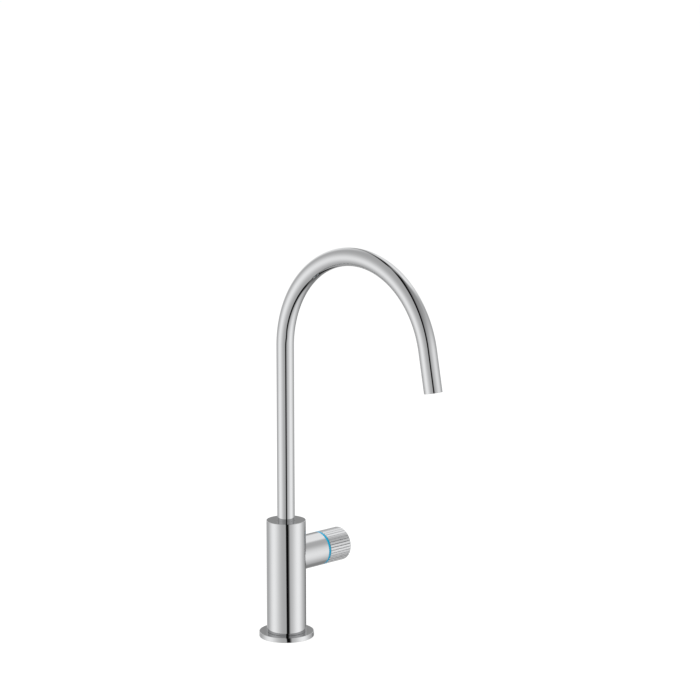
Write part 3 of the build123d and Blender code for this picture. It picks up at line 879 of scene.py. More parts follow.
@dataclass
class BaseAndBody:
    """Flange with its seal, and the upright body with its waterways."""

    layout: Layout
    flange_radius: float = 25.0
    flange_faces: int = 256
    edge: float = 0.35
    bore_edge: float = 0.2
    groove_edge: float = 0.15
    spigot_radius: float = 15.0
    spigot_edge: float = 0.3
    seal_outer: float = 23.5
    seal_inner: float = 20.5
    seal_height: float = 1.6
    seal_bottom_edge: float = 0.3
    seal_top_edge: float = 0.2
    seal_faces: int = 160
    body_faces: int = 256
    socket_floor: float = 89.0
    socket_edge: float = 0.12
    inlet_offset: float = -7.0
    inlet_port_radius: float = 4.5
    inlet_thread_radius: float = 4.95
    inlet_port_depth: float = 14.0
    inlet_pitch: float = 1.0
    inlet_channel_radius: float = 3.5
    seat_face: float = -1.0
    seat_bore: float = 4.2
    chamber_radius: float = 10.0
    chamber_faces: int = 128
    outlet_channel_offset: float = 2.4
    outlet_channel_radius: float = 3.0
    outlet_channel_start: float = 83.4
    stud_hole_depth: float = 17.8
    lock_hole_start: float = 0.5
    lock_hole_faces: int = 48
    holding_heights: tuple[float, ...] = (60.0, 63.0, 66.0, 70.0, 74.4, 79.0, 83.0, 86.0, 89.0, 97.1, 102.1)

    def build(self, shop: Workshop) -> None:
        """Make and install the pieces of the base."""
        shop.install("standing_flange", self._flange(), "base_flange")
        shop.install("flange_seal", self._seal(), "base_seal")
        shop.install("tap_body", self._body(), "body")
        shop.dress("inlet_strainer")

    def _flange(self) -> Blank:
        """Turn the flange with the groove for its seal."""
        bore = self.spigot_radius + self.layout.gap
        groove_outer = self.seal_outer + self.layout.gap
        groove_inner = self.seal_inner - self.layout.gap
        groove_top = self.seal_height + self.layout.gap
        top = self.layout.flange_height
        outline = [
            Corner(bore, 0.0, self.bore_edge),
            Corner(groove_inner, 0.0, self.groove_edge),
            Corner(groove_inner, groove_top),
            Corner(groove_outer, groove_top),
            Corner(groove_outer, 0.0, self.groove_edge),
            Corner(self.flange_radius, 0.0, self.bore_edge),
            Corner(self.flange_radius, top, self.edge),
            Corner(bore, top),
        ]
        return Blank.turned(outline, segments=self.flange_faces)

    def _seal(self) -> Blank:
        """Turn the flat rubber ring under the flange."""
        outline = [
            Corner(self.seal_inner, 0.0, self.seal_bottom_edge),
            Corner(self.seal_outer, 0.0, self.seal_bottom_edge),
            Corner(self.seal_outer, self.seal_height, self.seal_top_edge),
            Corner(self.seal_inner, self.seal_height, self.seal_top_edge),
        ]
        return Blank.turned(outline, segments=self.seal_faces)

    def _body(self) -> Blank:
        """Turn the body and drill its ways."""
        layout = self.layout
        radius, top, base = layout.body_radius, layout.body_top, layout.flange_height
        socket = layout.tube_radius + layout.gap
        outline = [
            Corner(0.0, 0.0),
            Corner(self.spigot_radius, 0.0, self.spigot_edge),
            Corner(self.spigot_radius, base),
            Corner(radius, base, self.edge),
            *[Corner(radius, height) for height in self.holding_heights],
            Corner(radius, top, self.edge),
            Corner(socket, top, self.socket_edge),
            Corner(socket, self.socket_floor),
            Corner(0.0, self.socket_floor),
        ]
        neck_bore = layout.neck_spigot + layout.gap
        chamber = [
            Corner(0.0, self.inlet_offset),
            Corner(self.seat_bore, self.inlet_offset),
            Corner(self.seat_bore, self.seat_face),
            Corner(self.chamber_radius, self.seat_face),
            Corner(self.chamber_radius, layout.neck_start),
            Corner(neck_bore, layout.neck_start),
            Corner(neck_bore, 2 * radius),
            Corner(0.0, 2 * radius),
        ]
        inlet = Matrix.Translation((self.inlet_offset, 0.0, 0.0))
        outlet = Matrix.Translation((self.outlet_channel_offset, 0.0, 0.0))
        stud = Matrix.Translation((layout.stud_offset, 0.0, 0.0))
        port = Blank.threaded(
            self.inlet_thread_radius,
            self.inlet_port_radius,
            self.inlet_pitch,
            -OVERSHOOT,
            self.inlet_port_depth,
        )
        inlet_start, outlet_end = self.inlet_port_depth - OVERSHOOT, self.socket_floor + OVERSHOOT
        lock_hole = Blank.rod(
            layout.screw_radius + layout.gap,
            self.lock_hole_start,
            2 * radius,
            layout.lock_screw_line(),
            segments=self.lock_hole_faces,
        )
        return Blank.turned(outline, segments=self.body_faces).cut(
            port.moved(inlet),
            Blank.rod(self.inlet_channel_radius, inlet_start, layout.valve_height, inlet),
            Blank.turned(chamber, segments=self.chamber_faces, place=layout.valve_line()),
            Blank.rod(self.outlet_channel_radius, self.outlet_channel_start, outlet_end, outlet),
            Blank.rod(layout.stud_radius + layout.gap, -OVERSHOOT, self.stud_hole_depth, stud),
            lock_hole,
        )


@dataclass
class NeckAndRing:
    """Sleeve on the body's side and the coloured ring at its end."""

    layout: Layout
    end: float = 39.8
    bore: float = 13.3
    bore_start: float = 21.0
    thread_bore: float = 10.55
    spigot_edge: float = 0.3
    outer_edge: float = 0.18
    bore_edge: float = 0.15
    thread_edge: float = 0.4
    ring_width: float = 2.4
    ring_inner_edge: float = 0.2
    ring_outer_edge: float = 0.16
    round_faces: int = 192
    lip_length: float = 3.0
    lip_radius: float = 13.25
    ring_bore: float = 11.0

    def build(self, shop: Workshop) -> None:
        """Make and install the neck and the ring."""
        shop.install("valve_sleeve", self._neck(), "valve_neck")
        shop.install("filtered_water_ring", self._ring(), "indicator_ring")

    def _neck(self) -> Blank:
        """Turn the sleeve, then bring its inner end onto the body's round."""
        layout = self.layout
        saddle = layout.body_radius + layout.gap
        outline = [
            Corner(self.thread_bore, layout.neck_start, self.spigot_edge),
            Corner(layout.neck_spigot, layout.neck_start, self.spigot_edge),
            Corner(layout.neck_spigot, saddle),
            Corner(layout.neck_radius, saddle),
            Corner(layout.neck_radius, self.end, self.outer_edge),
            Corner(self.bore, self.end, self.bore_edge),
            Corner(self.bore, self.bore_start),
            Corner(self.thread_bore, self.bore_start, self.thread_edge),
        ]
        blank = Blank.turned(outline, segments=self.round_faces, place=layout.valve_line())
        for vertex in blank.bm.verts:
            if abs(vertex.co.x - saddle) < MERGE_DISTANCE:
                vertex.co.x = math.sqrt(saddle**2 - vertex.co.y**2)
        return blank

    def _ring(self) -> Blank:
        """Turn the ring with the lip that sits in the neck's bore."""
        start, end = self.end, self.end + self.ring_width
        outline = [
            Corner(self.ring_bore, start - self.lip_length, self.ring_inner_edge),
            Corner(self.lip_radius, start - self.lip_length, self.ring_inner_edge),
            Corner(self.lip_radius, start),
            Corner(self.layout.neck_radius, start, self.ring_outer_edge),
            Corner(self.layout.neck_radius, end, self.ring_outer_edge),
            Corner(self.ring_bore, end, self.ring_inner_edge),
        ]
        return Blank.turned(outline, segments=self.round_faces, place=self.layout.valve_line())


@dataclass(frozen=True)
class GrubScrew:
    """Grub screw with a hexagon socket in its outer end, by its radii and its places along its own line."""

    radius: float
    tip_radius: float
    tip_start: float
    shank_start: float
    end: float
    tip_edge: float = 0.2
    shank_edge: float = 0.25
    outer_edge: float = 0.35
    round_faces: int = 48

    def blank(self) -> Blank:
        """Turn the screw and cut its socket."""
        outline = [Corner(0.0, self.tip_start), Corner(self.tip_radius, self.tip_start, self.tip_edge)]
        if self.shank_start > self.tip_start:
            outline += [
                Corner(self.tip_radius, self.shank_start),
                Corner(self.radius, self.shank_start, self.shank_edge),
            ]
        outline += [Corner(self.radius, self.end, self.outer_edge), Corner(0.0, self.end)]
        socket = Blank.hexagon(self.radius, self.end - self.radius, self.end + self.radius)
        return Blank.turned(outline, segments=self.round_faces).cut(socket)


@dataclass
class FlutedKnob:
    """Turning knob with V-shaped flutes all round, and its grub screw."""

    layout: Layout
    start: float = 42.5
    end: float = 68.5
    flutes: int = 36
    flute_width: float = 0.9
    flute_depth: float = 0.85
    flute_rounding: float = 0.09
    land_rounding: float = 0.12
    outer_rounding: float = 1.2
    inner_rounding: float = 0.2
    bore: float = 7.05
    bore_end: float = 57.5
    screw_inset: float = 1.95
    holding_reach: float = 2.6
    rounding_steps: int = 7
    land_steps: int = 4
    screw_hole_faces: int = 40
    sharp_turn: float = math.radians(30.0)

    def build(self, shop: Workshop) -> None:
        """Make and install the knob and its screw, and dress what it carries inside."""
        shop.install("fluted_knob", self._knob(), "knob")
        inner, outer = self.bore, self.layout.neck_radius - self.screw_inset
        screw = GrubScrew(self.layout.screw_radius, self.layout.screw_radius, inner, inner, outer)
        shop.install("knob_screw", screw.blank().moved(self.layout.knob_screw_line()), "knob_grub_screw")
        shop.dress("spline_adapter")

    def _flute_outline(self) -> Blank:
        """Draw the knob's cross-section: one V-shaped groove and one land, repeated all round."""
        radius, bottom = self.layout.neck_radius, self.layout.neck_radius - self.flute_depth
        half_groove = math.asin(self.flute_width / (2 * radius))
        edge_x, edge_y = radius * math.cos(half_groove), radius * math.sin(half_groove)
        step = math.tau / self.flutes
        blank = Blank()
        bm = blank.bm
        places = ((edge_x, -edge_y, 0.0), (bottom, 0.0, 0.0), (edge_x, edge_y, 0.0))
        groove = [bm.verts.new(place) for place in places]
        for before, after in zip(groove, groove[1:]):
            bm.edges.new((before, after))
        land = step - 2 * half_groove
        bmesh.ops.spin(
            bm, geom=groove[-1:], cent=(0, 0, 0), axis=(0, 0, 1), angle=land, steps=self.land_steps
        )
        bmesh.ops.spin(
            bm,
            geom=bm.verts[:] + bm.edges[:],
            cent=(0, 0, 0),
            axis=(0, 0, 1),
            angle=math.tau - step,
            steps=self.flutes - 1,
            use_duplicate=True,
        )
        bmesh.ops.remove_doubles(bm, verts=bm.verts[:], dist=WELD_DISTANCE)
        sharp = [vertex for vertex in bm.verts if self._turns_sharply(vertex)]
        middle = radius - self.flute_depth / 2
        bottoms = [vertex for vertex in sharp if vertex.co.length < middle]
        blank.round_corner([vertex for vertex in sharp if vertex.co.length > middle], self.land_rounding)
        blank.round_corner(bottoms, self.flute_rounding)
        return blank

    def _turns_sharply(self, vertex: bmesh.types.BMVert) -> bool:
        """Tell whether an outline bends at a vertex as it does at a groove's corners."""
        before, after = (edge.other_vert(vertex).co - vertex.co for edge in vertex.link_edges)
        return math.pi - before.angle(after) > self.sharp_turn

    def _blank_radius(self, along: float) -> float:
        """Radius of the knob's unfluted blank at a place along its line."""
        radius, outer, inner = self.layout.neck_radius, self.outer_rounding, self.inner_rounding
        if along > self.end - outer:
            depth = along - (self.end - outer)
            return radius - outer + math.sqrt(max(outer**2 - depth**2, 0.0))
        if along < self.start + inner:
            depth = self.start + inner - along
            return radius - inner + math.sqrt(max(inner**2 - depth**2, 0.0))
        return radius

    def _stations(self) -> list[float]:
        """Places along the line where the knob gets a ring of vertices."""
        steps = self.rounding_steps
        quarter = [math.sin(math.pi / 2 * step / steps) for step in range(steps + 1)]
        screw, reach = self.layout.knob_screw_place, self.holding_reach
        back = [self.start + self.inner_rounding * (1 - sine) for sine in reversed(quarter[::2])]
        middle = [screw - reach, screw, screw + reach]
        front = [self.end - self.outer_rounding * (1 - sine) for sine in quarter]
        return [self.start, *[place for place in back if place > self.start], *middle, *front]

    def _knob(self) -> Blank:
        """Extrude the cross-section, keep it inside the rounded blank, and bore it."""
        blank = self._flute_outline()
        bm = blank.bm
        loop = first_loop = bm.edges[:]
        bmesh.ops.translate(bm, vec=(0, 0, self.start), verts=bm.verts[:])
        stations = self._stations()
        for before, after in zip(stations, stations[1:]):
            loop = blank.drawn_on(loop, Vector((0.0, 0.0, after - before)))
        for vertex in bm.verts:
            self._limit_radius(vertex, self._blank_radius(vertex.co.z))
        bmesh.ops.edgeloop_fill(bm, edges=loop)
        rim = blank.drawn_on(first_loop, Vector((0.0, 0.0, 0.0)))
        for vertex in {vertex for edge in rim for vertex in edge.verts}:
            self._limit_radius(vertex, self.bore)
        floor = blank.drawn_on(rim, Vector((0.0, 0.0, self.bore_end - self.start)))
        bmesh.ops.edgeloop_fill(bm, edges=floor)
        bmesh.ops.recalc_face_normals(bm, faces=bm.faces[:])
        hole = Blank.rod(
            self.layout.screw_radius + self.layout.gap,
            self.bore - OVERSHOOT,
            2 * self.layout.neck_radius,
            self.layout.knob_screw_line(),
            segments=self.screw_hole_faces,
        )
        return blank.moved(self.layout.valve_line()).cut(hole)

    @staticmethod
    def _limit_radius(vertex: bmesh.types.BMVert, limit: float) -> None:
        """Bring a vertex in to a distance from the line."""
        reach = math.hypot(vertex.co.x, vertex.co.y)
        if reach > limit:
            vertex.co.x *= limit / reach
            vertex.co.y *= limit / reach


@dataclass
class Gooseneck:
    """Spout: swept tube, foot in the body's socket, lock screw and the mouth's insert."""

    layout: Layout
    foot_top: float = 106.0
    spring_height: float = 269.0
    arch_radius: float = 88.0
    arch_turn: float = math.radians(169.2)
    outlet_length: float = 36.0
    rim_rounding: float = 0.22
    round_faces: int = 96
    arch_steps: int = 168
    lock_tip_start: float = 7.1
    lock_tip_radius: float = 1.1
    lock_shank_start: float = 9.05
    lock_end: float = 17.0
    insert_length: float = 12.0
    insert_recess: float = 0.8
    insert_wall: float = 1.15
    insert_step: float = 5.6
    insert_inner_edge: float = 0.2
    insert_outer_edge: float = 0.3
    insert_faces: int = 72
    groove_half_width: float = 0.55
    groove_depth: float = 1.0
    groove_edge: float = 0.1
    kept_nodes: tuple[str, ...] = (
        "spout_o_rings",
        "spout_glide_ring",
        "spout_thrust_washer",
        "outlet_o_ring",
        "flow_straightener",
    )

    def build(self, shop: Workshop) -> None:
        """Make and install the spout's pieces, and dress those that stay."""
        shop.install("gooseneck_tube", self._tube(), "spout_tube")
        lock = GrubScrew(
            self.layout.screw_radius,
            self.lock_tip_radius,
            self.lock_tip_start,
            self.lock_shank_start,
            self.lock_end,
        )
        shop.install("rear_lock_screw", lock.blank().moved(self.layout.lock_screw_line()), "spout_lock_screw")
        shop.install("mouth_insert", self._insert(), "outlet_insert")
        shop.dress("spout_foot", shop.upright_brass)
        for node in self.kept_nodes:
            shop.dress(node)

    def _outlet_direction(self) -> Vector:
        """Direction from the arch's end to the mouth."""
        return Vector((0.0, -math.sin(self.arch_turn), math.cos(self.arch_turn)))

    def _mouth(self, depth: float) -> Matrix:
        """Place on the outlet's line at a depth inside the mouth."""
        arch_end = Vector(
            (
                0.0,
                -self.arch_radius * (1 - math.cos(self.arch_turn)),
                self.spring_height + self.arch_radius * math.sin(self.arch_turn),
            )
        )
        point = arch_end + self._outlet_direction() * (self.outlet_length - depth)
        return Matrix.Translation(point) @ Matrix.Rotation(self.arch_turn, 4, "X")

    def _tube(self) -> Blank:
        """Sweep the tube's outer and inner rounds up the riser, over the arch and down the outlet."""
        blank = Blank()
        bm = blank.bm
        start = Matrix.Translation((0.0, 0.0, self.foot_top))
        for radius in (self.layout.tube_radius, self.layout.tube_bore):
            bmesh.ops.create_circle(bm, segments=self.round_faces, radius=radius, matrix=start)
        first = bm.edges[:]
        holding = self.arch_radius * self.arch_turn / self.arch_steps
        riser = self.spring_height - self.foot_top
        loops = blank.drawn_on(first, Vector((0.0, 0.0, riser - holding)))
        loops = blank.drawn_on(loops, Vector((0.0, 0.0, holding)))
        ends = {vertex for edge in loops for vertex in edge.verts}
        bent = bmesh.ops.spin(
            bm,
            geom=[*ends, *loops],
            cent=(0.0, -self.arch_radius, self.spring_height),
            axis=(1.0, 0.0, 0.0),
            angle=self.arch_turn,
            steps=self.arch_steps,
        )
        loops = [item for item in bent["geom_last"] if isinstance(item, bmesh.types.BMEdge)]
        outlet = self._outlet_direction()
        loops = blank.drawn_on(loops, outlet * holding)
        loops = blank.drawn_on(loops, outlet * (self.outlet_length - holding))
        bmesh.ops.bridge_loops(bm, edges=first)
        bmesh.ops.bridge_loops(bm, edges=loops)
        bmesh.ops.recalc_face_normals(bm, faces=bm.faces[:])
        return blank.round_edges(self.rim_rounding, edges=[edge for edge in loops if edge.is_valid])

    def _insert(self) -> Blank:
        """Turn the plastic insert with its seal groove and the step for the straightener."""
        outer = self.layout.tube_bore - self.layout.gap
        inner = outer - self.insert_wall
        throat = inner - self.insert_wall / 2
        length, step = self.insert_length, self.insert_length - self.insert_step
        groove_start, groove_end = length / 4 - self.groove_half_width, length / 4 + self.groove_half_width
        groove_floor = outer - self.groove_depth
        outline = [
            Corner(throat, 0.0, self.insert_inner_edge),
            Corner(outer, 0.0, self.insert_outer_edge),
            Corner(outer, groove_start, self.groove_edge),
            Corner(groove_floor, groove_start),
            Corner(groove_floor, groove_end),
            Corner(outer, groove_end, self.groove_edge),
            Corner(outer, length, self.insert_outer_edge),
            Corner(inner, length, self.insert_inner_edge),
            Corner(inner, step),
            Corner(throat, step, self.insert_inner_edge),
        ]
        place = self._mouth(self.insert_recess + length)
        return Blank.turned(outline, segments=self.insert_faces, place=place)


@dataclass
class DeckFixing:
    """Stud, horseshoe pad and plate, and nut below the worktop."""

    layout: Layout
    stud_bottom: float = -58.0
    stud_top: float = 17.5
    stud_root: float = 3.32
    stud_pitch: float = 1.25
    stud_chamfer: float = 0.7
    chamfer_reach: float = 0.5
    pad_top: float = -20.0
    pad_thickness: float = 3.0
    pad_rounding: float = 0.5
    plate_thickness: float = 3.0
    plate_rounding: float = 0.3
    horseshoe_radius: float = 22.0
    outline_steps: int = 112
    slot_steps: int = 32
    slot_half_width: float = 7.5
    slot_offset: float = -7.0
    hole_play: float = 0.3
    nut_flats: float = 13.0
    nut_height: float = 10.0
    nut_chamfer: float = 0.65
    nut_face_inset: float = 0.1
    nut_corner_play: float = 0.2
    nut_mouth: float = 0.9
    nut_mouth_depth: float = 0.8

    def build(self, shop: Workshop) -> None:
        """Make and install the fixing."""
        shop.install("threaded_stud", self._stud(), "fixing_stud")
        pad = self._horseshoe(self.pad_top - self.pad_thickness, self.pad_thickness, self.pad_rounding)
        shop.install("horseshoe_pad", pad, "clamp_pad")
        plate_bottom = self.pad_top - self.pad_thickness - self.plate_thickness
        plate = self._horseshoe(plate_bottom, self.plate_thickness, self.plate_rounding)
        shop.install("horseshoe_plate", plate, "clamp_plate")
        shop.install("hexagon_nut", self._nut(plate_bottom), "fixing_nut", shop.upright_brass)

    def _stud(self) -> Blank:
        """Wind the stud's thread and chamfer its ends."""
        radius = self.layout.stud_radius
        blank = Blank.threaded(radius, self.stud_root, self.stud_pitch, self.stud_bottom, self.stud_top)
        chamfer, reach = self.stud_chamfer, self.chamfer_reach
        core = [
            Corner(0.0, self.stud_bottom),
            Corner(radius - chamfer, self.stud_bottom),
            Corner(radius + reach, self.stud_bottom + chamfer + reach),
            Corner(radius + reach, self.stud_top - chamfer - reach),
            Corner(radius - chamfer, self.stud_top),
            Corner(0.0, self.stud_top),
        ]
        blank.trimmed(Blank.turned(core, segments=64))
        return blank.moved(Matrix.Translation((self.layout.stud_offset, 0.0, 0.0)))

    def _horseshoe(self, bottom: float, thickness: float, rounding: float) -> Blank:
        """Make a round plate with a slot for the hose and a hole for the stud.

        Args:
            bottom: Height of its underside.
            thickness: Its thickness.
            rounding: Radius of its edges.

        Returns:
            The plate.
        """
        blank = Blank()
        bm = blank.bm
        radius, half_width = self.horseshoe_radius, self.slot_half_width
        opening = math.asin(half_width / radius)
        outer_start = bm.verts.new((-radius * math.cos(opening), -half_width, bottom))
        outer = bmesh.ops.spin(
            bm,
            geom=[outer_start],
            cent=(0, 0, 0),
            axis=(0, 0, 1),
            angle=math.tau - 2 * opening,
            steps=self.outline_steps,
        )
        inner_start = bm.verts.new((self.slot_offset, half_width, bottom))
        inner = bmesh.ops.spin(
            bm,
            geom=[inner_start],
            cent=(self.slot_offset, 0, 0),
            axis=(0, 0, 1),
            angle=-math.pi,
            steps=self.slot_steps,
        )
        bm.edges.new((self._last_vertex(outer), inner_start))
        bm.edges.new((self._last_vertex(inner), outer_start))
        face = bmesh.ops.contextual_create(bm, geom=bm.edges[:])["faces"]
        raised = bmesh.ops.extrude_face_region(bm, geom=face, use_keep_orig=True)["geom"]
        lifted = [item for item in raised if isinstance(item, bmesh.types.BMVert)]
        bmesh.ops.translate(bm, vec=(0, 0, thickness), verts=lifted)
        blank.closed()
        hole = Blank.rod(
            self.layout.stud_radius + self.hole_play,
            bottom - OVERSHOOT,
            bottom + thickness + OVERSHOOT,
            Matrix.Translation((self.layout.stud_offset, 0.0, 0.0)),
            segments=48,
        )
        return blank.cut(hole).round_edges(rounding)

    @staticmethod
    def _last_vertex(spun: Mapping[str, list[object]]) -> bmesh.types.BMVert:
        """Find the vertex at which a spun line ends."""
        return next(item for item in spun["geom_last"] if isinstance(item, bmesh.types.BMVert))

    def _nut(self, top: float) -> Blank:
        """Cut a hexagon bar to a nut with chamfered corners and a plain bore that widens at both mouths."""
        bottom = top - self.nut_height
        corner = self.nut_flats / math.sqrt(3)
        face, reach = self.nut_flats / 2 - self.nut_face_inset, corner + self.nut_corner_play
        crown = [
            Corner(0.0, bottom),
            Corner(face, bottom),
            Corner(reach, bottom + self.nut_chamfer),
            Corner(reach, top - self.nut_chamfer),
            Corner(face, top),
            Corner(0.0, top),
        ]
        bore, mouth = self.layout.stud_radius + self.layout.gap, self.layout.stud_radius + self.nut_mouth
        tool = [
            Corner(0.0, bottom - OVERSHOOT),
            Corner(mouth, bottom - OVERSHOOT),
            Corner(mouth, bottom),
            Corner(bore, bottom + self.nut_mouth_depth),
            Corner(bore, top - self.nut_mouth_depth),
            Corner(mouth, top),
            Corner(mouth, top + OVERSHOOT),
            Corner(0.0, top + OVERSHOOT),
        ]
        blank = Blank.hexagon(self.nut_flats, bottom, top).trimmed(Blank.turned(crown, segments=96))
        blank.cut(Blank.turned(tool, segments=64))
        return blank.moved(Matrix.Translation((self.layout.stud_offset, 0.0, 0.0)))


@dataclass(frozen=True)
class Headwork:
    """Quarter-turn valve inside neck and knob, which keeps its CAD shapes."""

    nodes: tuple[str, ...] = (
        "seat_seal",
        "fixed_disc",
        "headwork_housing",
        "housing_o_ring",
        "moving_disc",
        "spindle",
        "spindle_glide_washer",
        "spindle_o_rings",
        "spindle_circlip",
        "stop_washer",
    )

    def build(self, shop: Workshop) -> None:
        """Dress the valve's pieces."""
        for node in self.nodes:
            shop.dress(node)


# Studio


@dataclass(frozen=True)
class SoftPanel:
    """Soft panel of light, by its bearing from the camera's side, height and half sizes in degrees."""

    bearing: float
    height: float
    half_width: float
    half_height: float
    level: float

    def glow(self, bearing: Value, height: Value) -> Value:
        """Give the panel's light in a direction."""
        across = (bearing - self.bearing).wrapped(-180.0, 180.0) / self.half_width
        up = (height - self.height) / self.half_height
        return self.level * (-(across * across + up * up)).exponential()


@dataclass(frozen=True)
class WidePanel:
    """Large even panel with soft borders, by the bearings and heights where its borders start and end."""

    SEAM = -60.0
    LEANING_HEIGHTS = (0.0, 60.0)

    left: tuple[float, float]
    right: tuple[float, float]
    bottom: tuple[float, float]
    top: tuple[float, float]
    lean: float
    level: float

    def glow(self, bearing: Value, height: Value) -> Value:
        """Give the panel's light in a direction."""
        turned = bearing.wrapped(self.SEAM, self.SEAM + 360.0)
        leaning = turned + height.rise(*self.LEANING_HEIGHTS, 0.0, self.lean)
        across = leaning.rise(*self.left) * turned.rise(*self.right, 1.0, 0.0)
        return self.level * across * height.rise(*self.bottom) * height.rise(*self.top, 1.0, 0.0)


@dataclass(frozen=True)
class DarkGap:
    """Unlit gap between the panels, in the upright plane through the camera.

    Its borders are given in degrees to the right of that plane, and its onset as the height where it is
    not there yet and the height where it is fully there.
    """

    left: tuple[float, float]
    right: tuple[float, float]
    onset: tuple[float, float]
    depth: float

    def shade(self, aside: Value, height: Value) -> Value:
        """Give the part of the light that the gap takes away in a direction."""
        across = aside.rise(*self.left) * aside.rise(*self.right, 1.0, 0.0)
        return self.depth * across * height.rise(*self.onset)


@dataclass
class Studio:
    """Soft studio: panels all round, a plain floor, one lamp above and the camera."""

    camera_turn: float = math.radians(45.1)
    camera_rise: float = math.radians(9.773)
    camera_distance: float = 2.10895
    camera_right: float = 0.058094
    camera_up: float = 0.261169
    focal_length: float = 118.345
    sensor_width: float = 36.0
    room_level: float = 0.592
    corner_shade: float = 0.379
    corner_heights: tuple[float, float] = (7.2, 41.7)
    corner_asides: tuple[float, float] = (0.0, 12.0)
    corner_bearings: tuple[float, float] = (88.0, 112.0)
    near_side_border: tuple[float, float] = (-0.2, 0.0)
    side_panels: tuple[SoftPanel, ...] = (
        SoftPanel(-75.2, -10.3, 37.7, 38.4, 0.718),
        SoftPanel(75.0, -17.3, 36.0, 47.0, 0.746),
        SoftPanel(-164.7, 10.6, 20.2, 30.1, 0.965),
    )
    rear_panel: WidePanel = WidePanel(
        (138.0, 161.6), (178.6, 181.6), (-14.7, -10.7), (60.6, 66.1), 36.3, 0.662
    )
    low_corners: tuple[WidePanel, ...] = (
        WidePanel((130.0, 160.0), (184.0, 192.0), (-30.0, -20.0), (-15.5, -13.5), 0.0, 0.5),
        WidePanel((124.0, 136.0), (152.0, 176.0), (-66.0, -52.0), (-36.0, -28.0), 0.0, 0.28),
    )
    front_gap: DarkGap = DarkGap((-3.1, 0.1), (9.9, 23.0), (-91.0, -90.0), 0.992)
    gap_bulge: SoftPanel = SoftPanel(0.0, -19.5, 90.0, 5.0, 4.8)
    rear_gaps: tuple[DarkGap, ...] = (
        DarkGap((-6.4, -2.1), (-1.0, 8.4), (-12.7, 16.7), 0.586),
        DarkGap((-7.3, -5.3), (-0.5, 14.3), (41.2, 71.2), 1.0),
        DarkGap((-9.0, -3.0), (-1.0, 7.0), (-33.0, -48.0), 1.0),
        DarkGap((-3.0, 2.0), (8.0, 24.0), (-35.0, -60.0), 0.7),
    )
    plain_level: float = 0.66
    floor_size: float = 30.0
    floor_segments: int = 8
    floor_height: float = -0.0001
    floor_colour: Colour = (0.86, 0.86, 0.86, 1.0)
    shown_floor_colour: Colour = (0.3, 0.3, 0.3, 1.0)
    shown_floor_light: float = 0.82
    lamp_height: float = 2.2
    lamp_size: float = 1.6
    lamp_power: float = 19.0

    def _axes(self) -> tuple[Vector, Vector, Vector]:
        """Give the camera's directions to the right, up and forward."""
        turn, rise = self.camera_turn, self.camera_rise
        forward = Vector((math.sin(turn) * math.cos(rise), math.cos(turn) * math.cos(rise), -math.sin(rise)))
        right = Vector((math.cos(turn), -math.sin(turn), 0.0))
        return right, right.cross(forward), forward

    def build(self) -> None:
        """Make camera, world, lamp and floor."""
        self._camera()
        self._world()
        self._lamp()
        self._floor()
        LOG.info("studio is set up")

    def _camera(self) -> None:
        """Stand the camera where the photograph was taken from."""
        right, up, forward = self._axes()
        data = bpy.data.cameras.new("studio_camera")
        data.lens = self.focal_length
        data.sensor_width = self.sensor_width
        camera = bpy.data.objects.new("studio_camera", data)
        bpy.context.scene.collection.objects.link(camera)
        turning = Matrix((right, up, -forward)).transposed().to_4x4()
        place = right * self.camera_right + up * self.camera_up - forward * self.camera_distance
        camera.matrix_world = Matrix.Translation(place) @ turning
        bpy.context.scene.camera = camera

    def _world(self) -> None:
        """Surround the tap with soft panels, which polished metal shows, on a white background."""
        world = bpy.data.worlds.new("studio_surroundings")
        world.use_nodes = True
        bpy.context.scene.world = world
        bench = Bench(world.node_tree)
        direction = bench.value("ShaderNodeTexCoord", output="Generated")
        sine, cosine = math.sin(self.camera_turn), math.cos(self.camera_turn)
        degrees = 180.0 / math.pi
        rightward = bench.vector_math("DOT_PRODUCT", direction, (cosine, -sine, 0.0), output="Value")
        nearward = bench.vector_math("DOT_PRODUCT", direction, (-sine, -cosine, 0.0), output="Value")
        bearing = bench.math("ARCTAN2", rightward, nearward) * degrees
        aside = bench.math("ARCSINE", rightward) * degrees
        height = bench.math("ARCSINE", bench.parts(direction)[2]) * degrees
        room = self._room(bearing, aside, height, nearward.rise(*self.near_side_border))
        straight, mirrored, passed = bench.rays("Is Camera Ray", "Is Glossy Ray", "Is Transmission Ray")
        seen = straight.larger(passed)
        level = seen + mirrored * room + (1.0 - seen.larger(mirrored)) * self.plain_level
        sockets = {"Color": (1.0, 1.0, 1.0, 1.0), "Strength": level}
        light = bench.value("ShaderNodeBackground", sockets=sockets)
        bench.node("ShaderNodeOutputWorld", sockets={"Surface": light})

    def _room(self, bearing: Value, aside: Value, height: Value, near_side: Value) -> Value:
        """Give the light of the panels in a direction.

        Args:
            bearing: Degrees to the right of the camera's side, round the horizon.
            aside: Degrees to the right of the upright plane through the camera.
            height: Degrees above the horizon.
            near_side: 1 on the camera's side of the tap and 0 behind it.

        Returns:
            The light, where 1 is white.
        """
        corner = height.rise(*self.corner_heights) * aside.rise(*self.corner_asides)
        corner = corner * bearing.rise(*self.corner_bearings, 1.0, 0.0)
        room = self.room_level * (1.0 - self.corner_shade * corner)
        for panel in (*self.side_panels, self.rear_panel):
            room = room + panel.glow(bearing, height)
        for shade in self.low_corners:
            room = room * (1.0 - shade.glow(bearing, height))
        swung = aside - self.gap_bulge.glow(aside, height)
        room = room * (1.0 - self.front_gap.shade(swung, height) * near_side)
        for gap in self.rear_gaps:
            room = room * (1.0 - gap.shade(aside, height) * (1.0 - near_side))
        return room

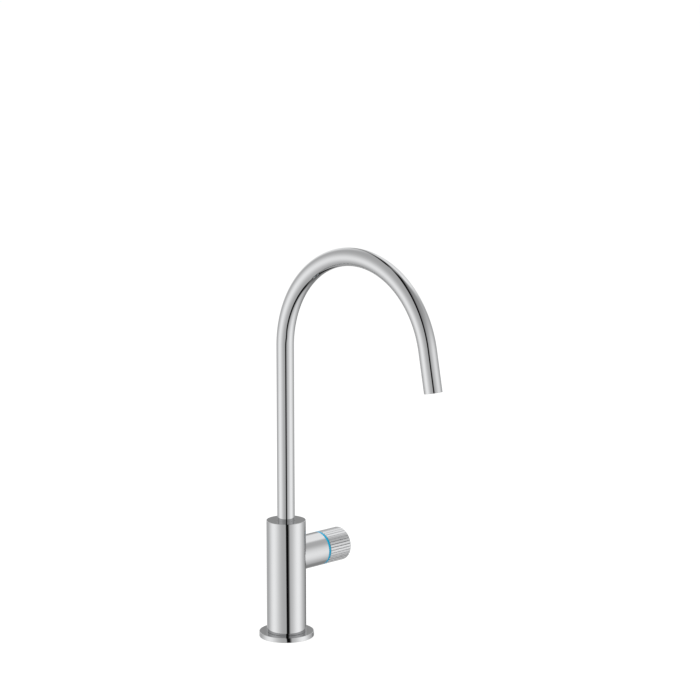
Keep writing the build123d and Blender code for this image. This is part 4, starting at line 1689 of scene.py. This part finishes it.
    def _lamp(self) -> None:
        """Hang one large soft lamp above, which gives the shadow on the floor."""
        data = bpy.data.lights.new("overhead_lamp", "AREA")
        data.shape = "SQUARE"
        data.size = self.lamp_size
        data.energy = self.lamp_power
        lamp = bpy.data.objects.new("overhead_lamp", data)
        bpy.context.scene.collection.objects.link(lamp)
        lamp.location = (0.0, 0.0, self.lamp_height)
        lamp.visible_glossy = False

    def _floor(self) -> None:
        """Lay a plain pale floor that looks white and keeps a soft shadow."""
        bm = bmesh.new()
        segments = self.floor_segments
        bmesh.ops.create_grid(bm, x_segments=segments, y_segments=segments, size=self.floor_size)
        bmesh.ops.translate(bm, vec=(0.0, 0.0, self.floor_height), verts=bm.verts[:])
        mesh = bpy.data.meshes.new("floor")
        bm.to_mesh(mesh)
        bm.free()
        floor = bpy.data.objects.new("floor", mesh)
        bpy.context.scene.collection.objects.link(floor)
        mesh.materials.append(self._floor_material())

    def _floor_material(self) -> bpy.types.Material:
        """Mix the floor's material.

        Returns:
            A pale matt material. The camera sees it as white as the background, with the shadow kept, and
            polished metal sees the studio through it.
        """
        made = bpy.data.materials.new("pale_floor")
        made.use_nodes = True
        bench = Bench(made.node_tree)
        seen, mirrored, passed = bench.rays("Is Camera Ray", "Is Glossy Ray", "Is Transmission Ray")
        from_below = seen * bench.value("ShaderNodeNewGeometry", output="Backfacing")
        colour = bench.blend(seen, self.floor_colour, self.shown_floor_colour)
        matt = bench.value("ShaderNodeBsdfDiffuse", sockets={"Color": colour})
        white = bench.value("ShaderNodeEmission", sockets={"Strength": self.shown_floor_light * seen})
        lit = bench.value("ShaderNodeAddShader", sockets={0: matt, 1: white})
        clear = bench.value("ShaderNodeBsdfTransparent")
        hidden = mirrored.larger(passed).larger(from_below)
        surface = bench.value("ShaderNodeMixShader", sockets={0: hidden, 1: lit, 2: clear})
        bench.node("ShaderNodeOutputMaterial", sockets={"Surface": surface})
        return made


def corners(box: tuple[Vector, Vector]) -> list[list[float]]:
    """Write a box's two corners as plain lists."""
    return [list(corner) for corner in box]


def main() -> None:
    """Build the tap and its studio."""
    logging.basicConfig(level=logging.INFO, format="%(name)s: %(message)s")
    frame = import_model()
    bpy.context.scene.view_settings.view_transform = "Standard"
    shop = Workshop(frame)
    layout = Layout()
    for assembly in (
        BaseAndBody(layout),
        NeckAndRing(layout),
        FlutedKnob(layout),
        Gooseneck(layout),
        DeckFixing(layout),
        Headwork(),
    ):
        assembly.build(shop)
    Studio().build()


if __name__ == "__main__":
    main()
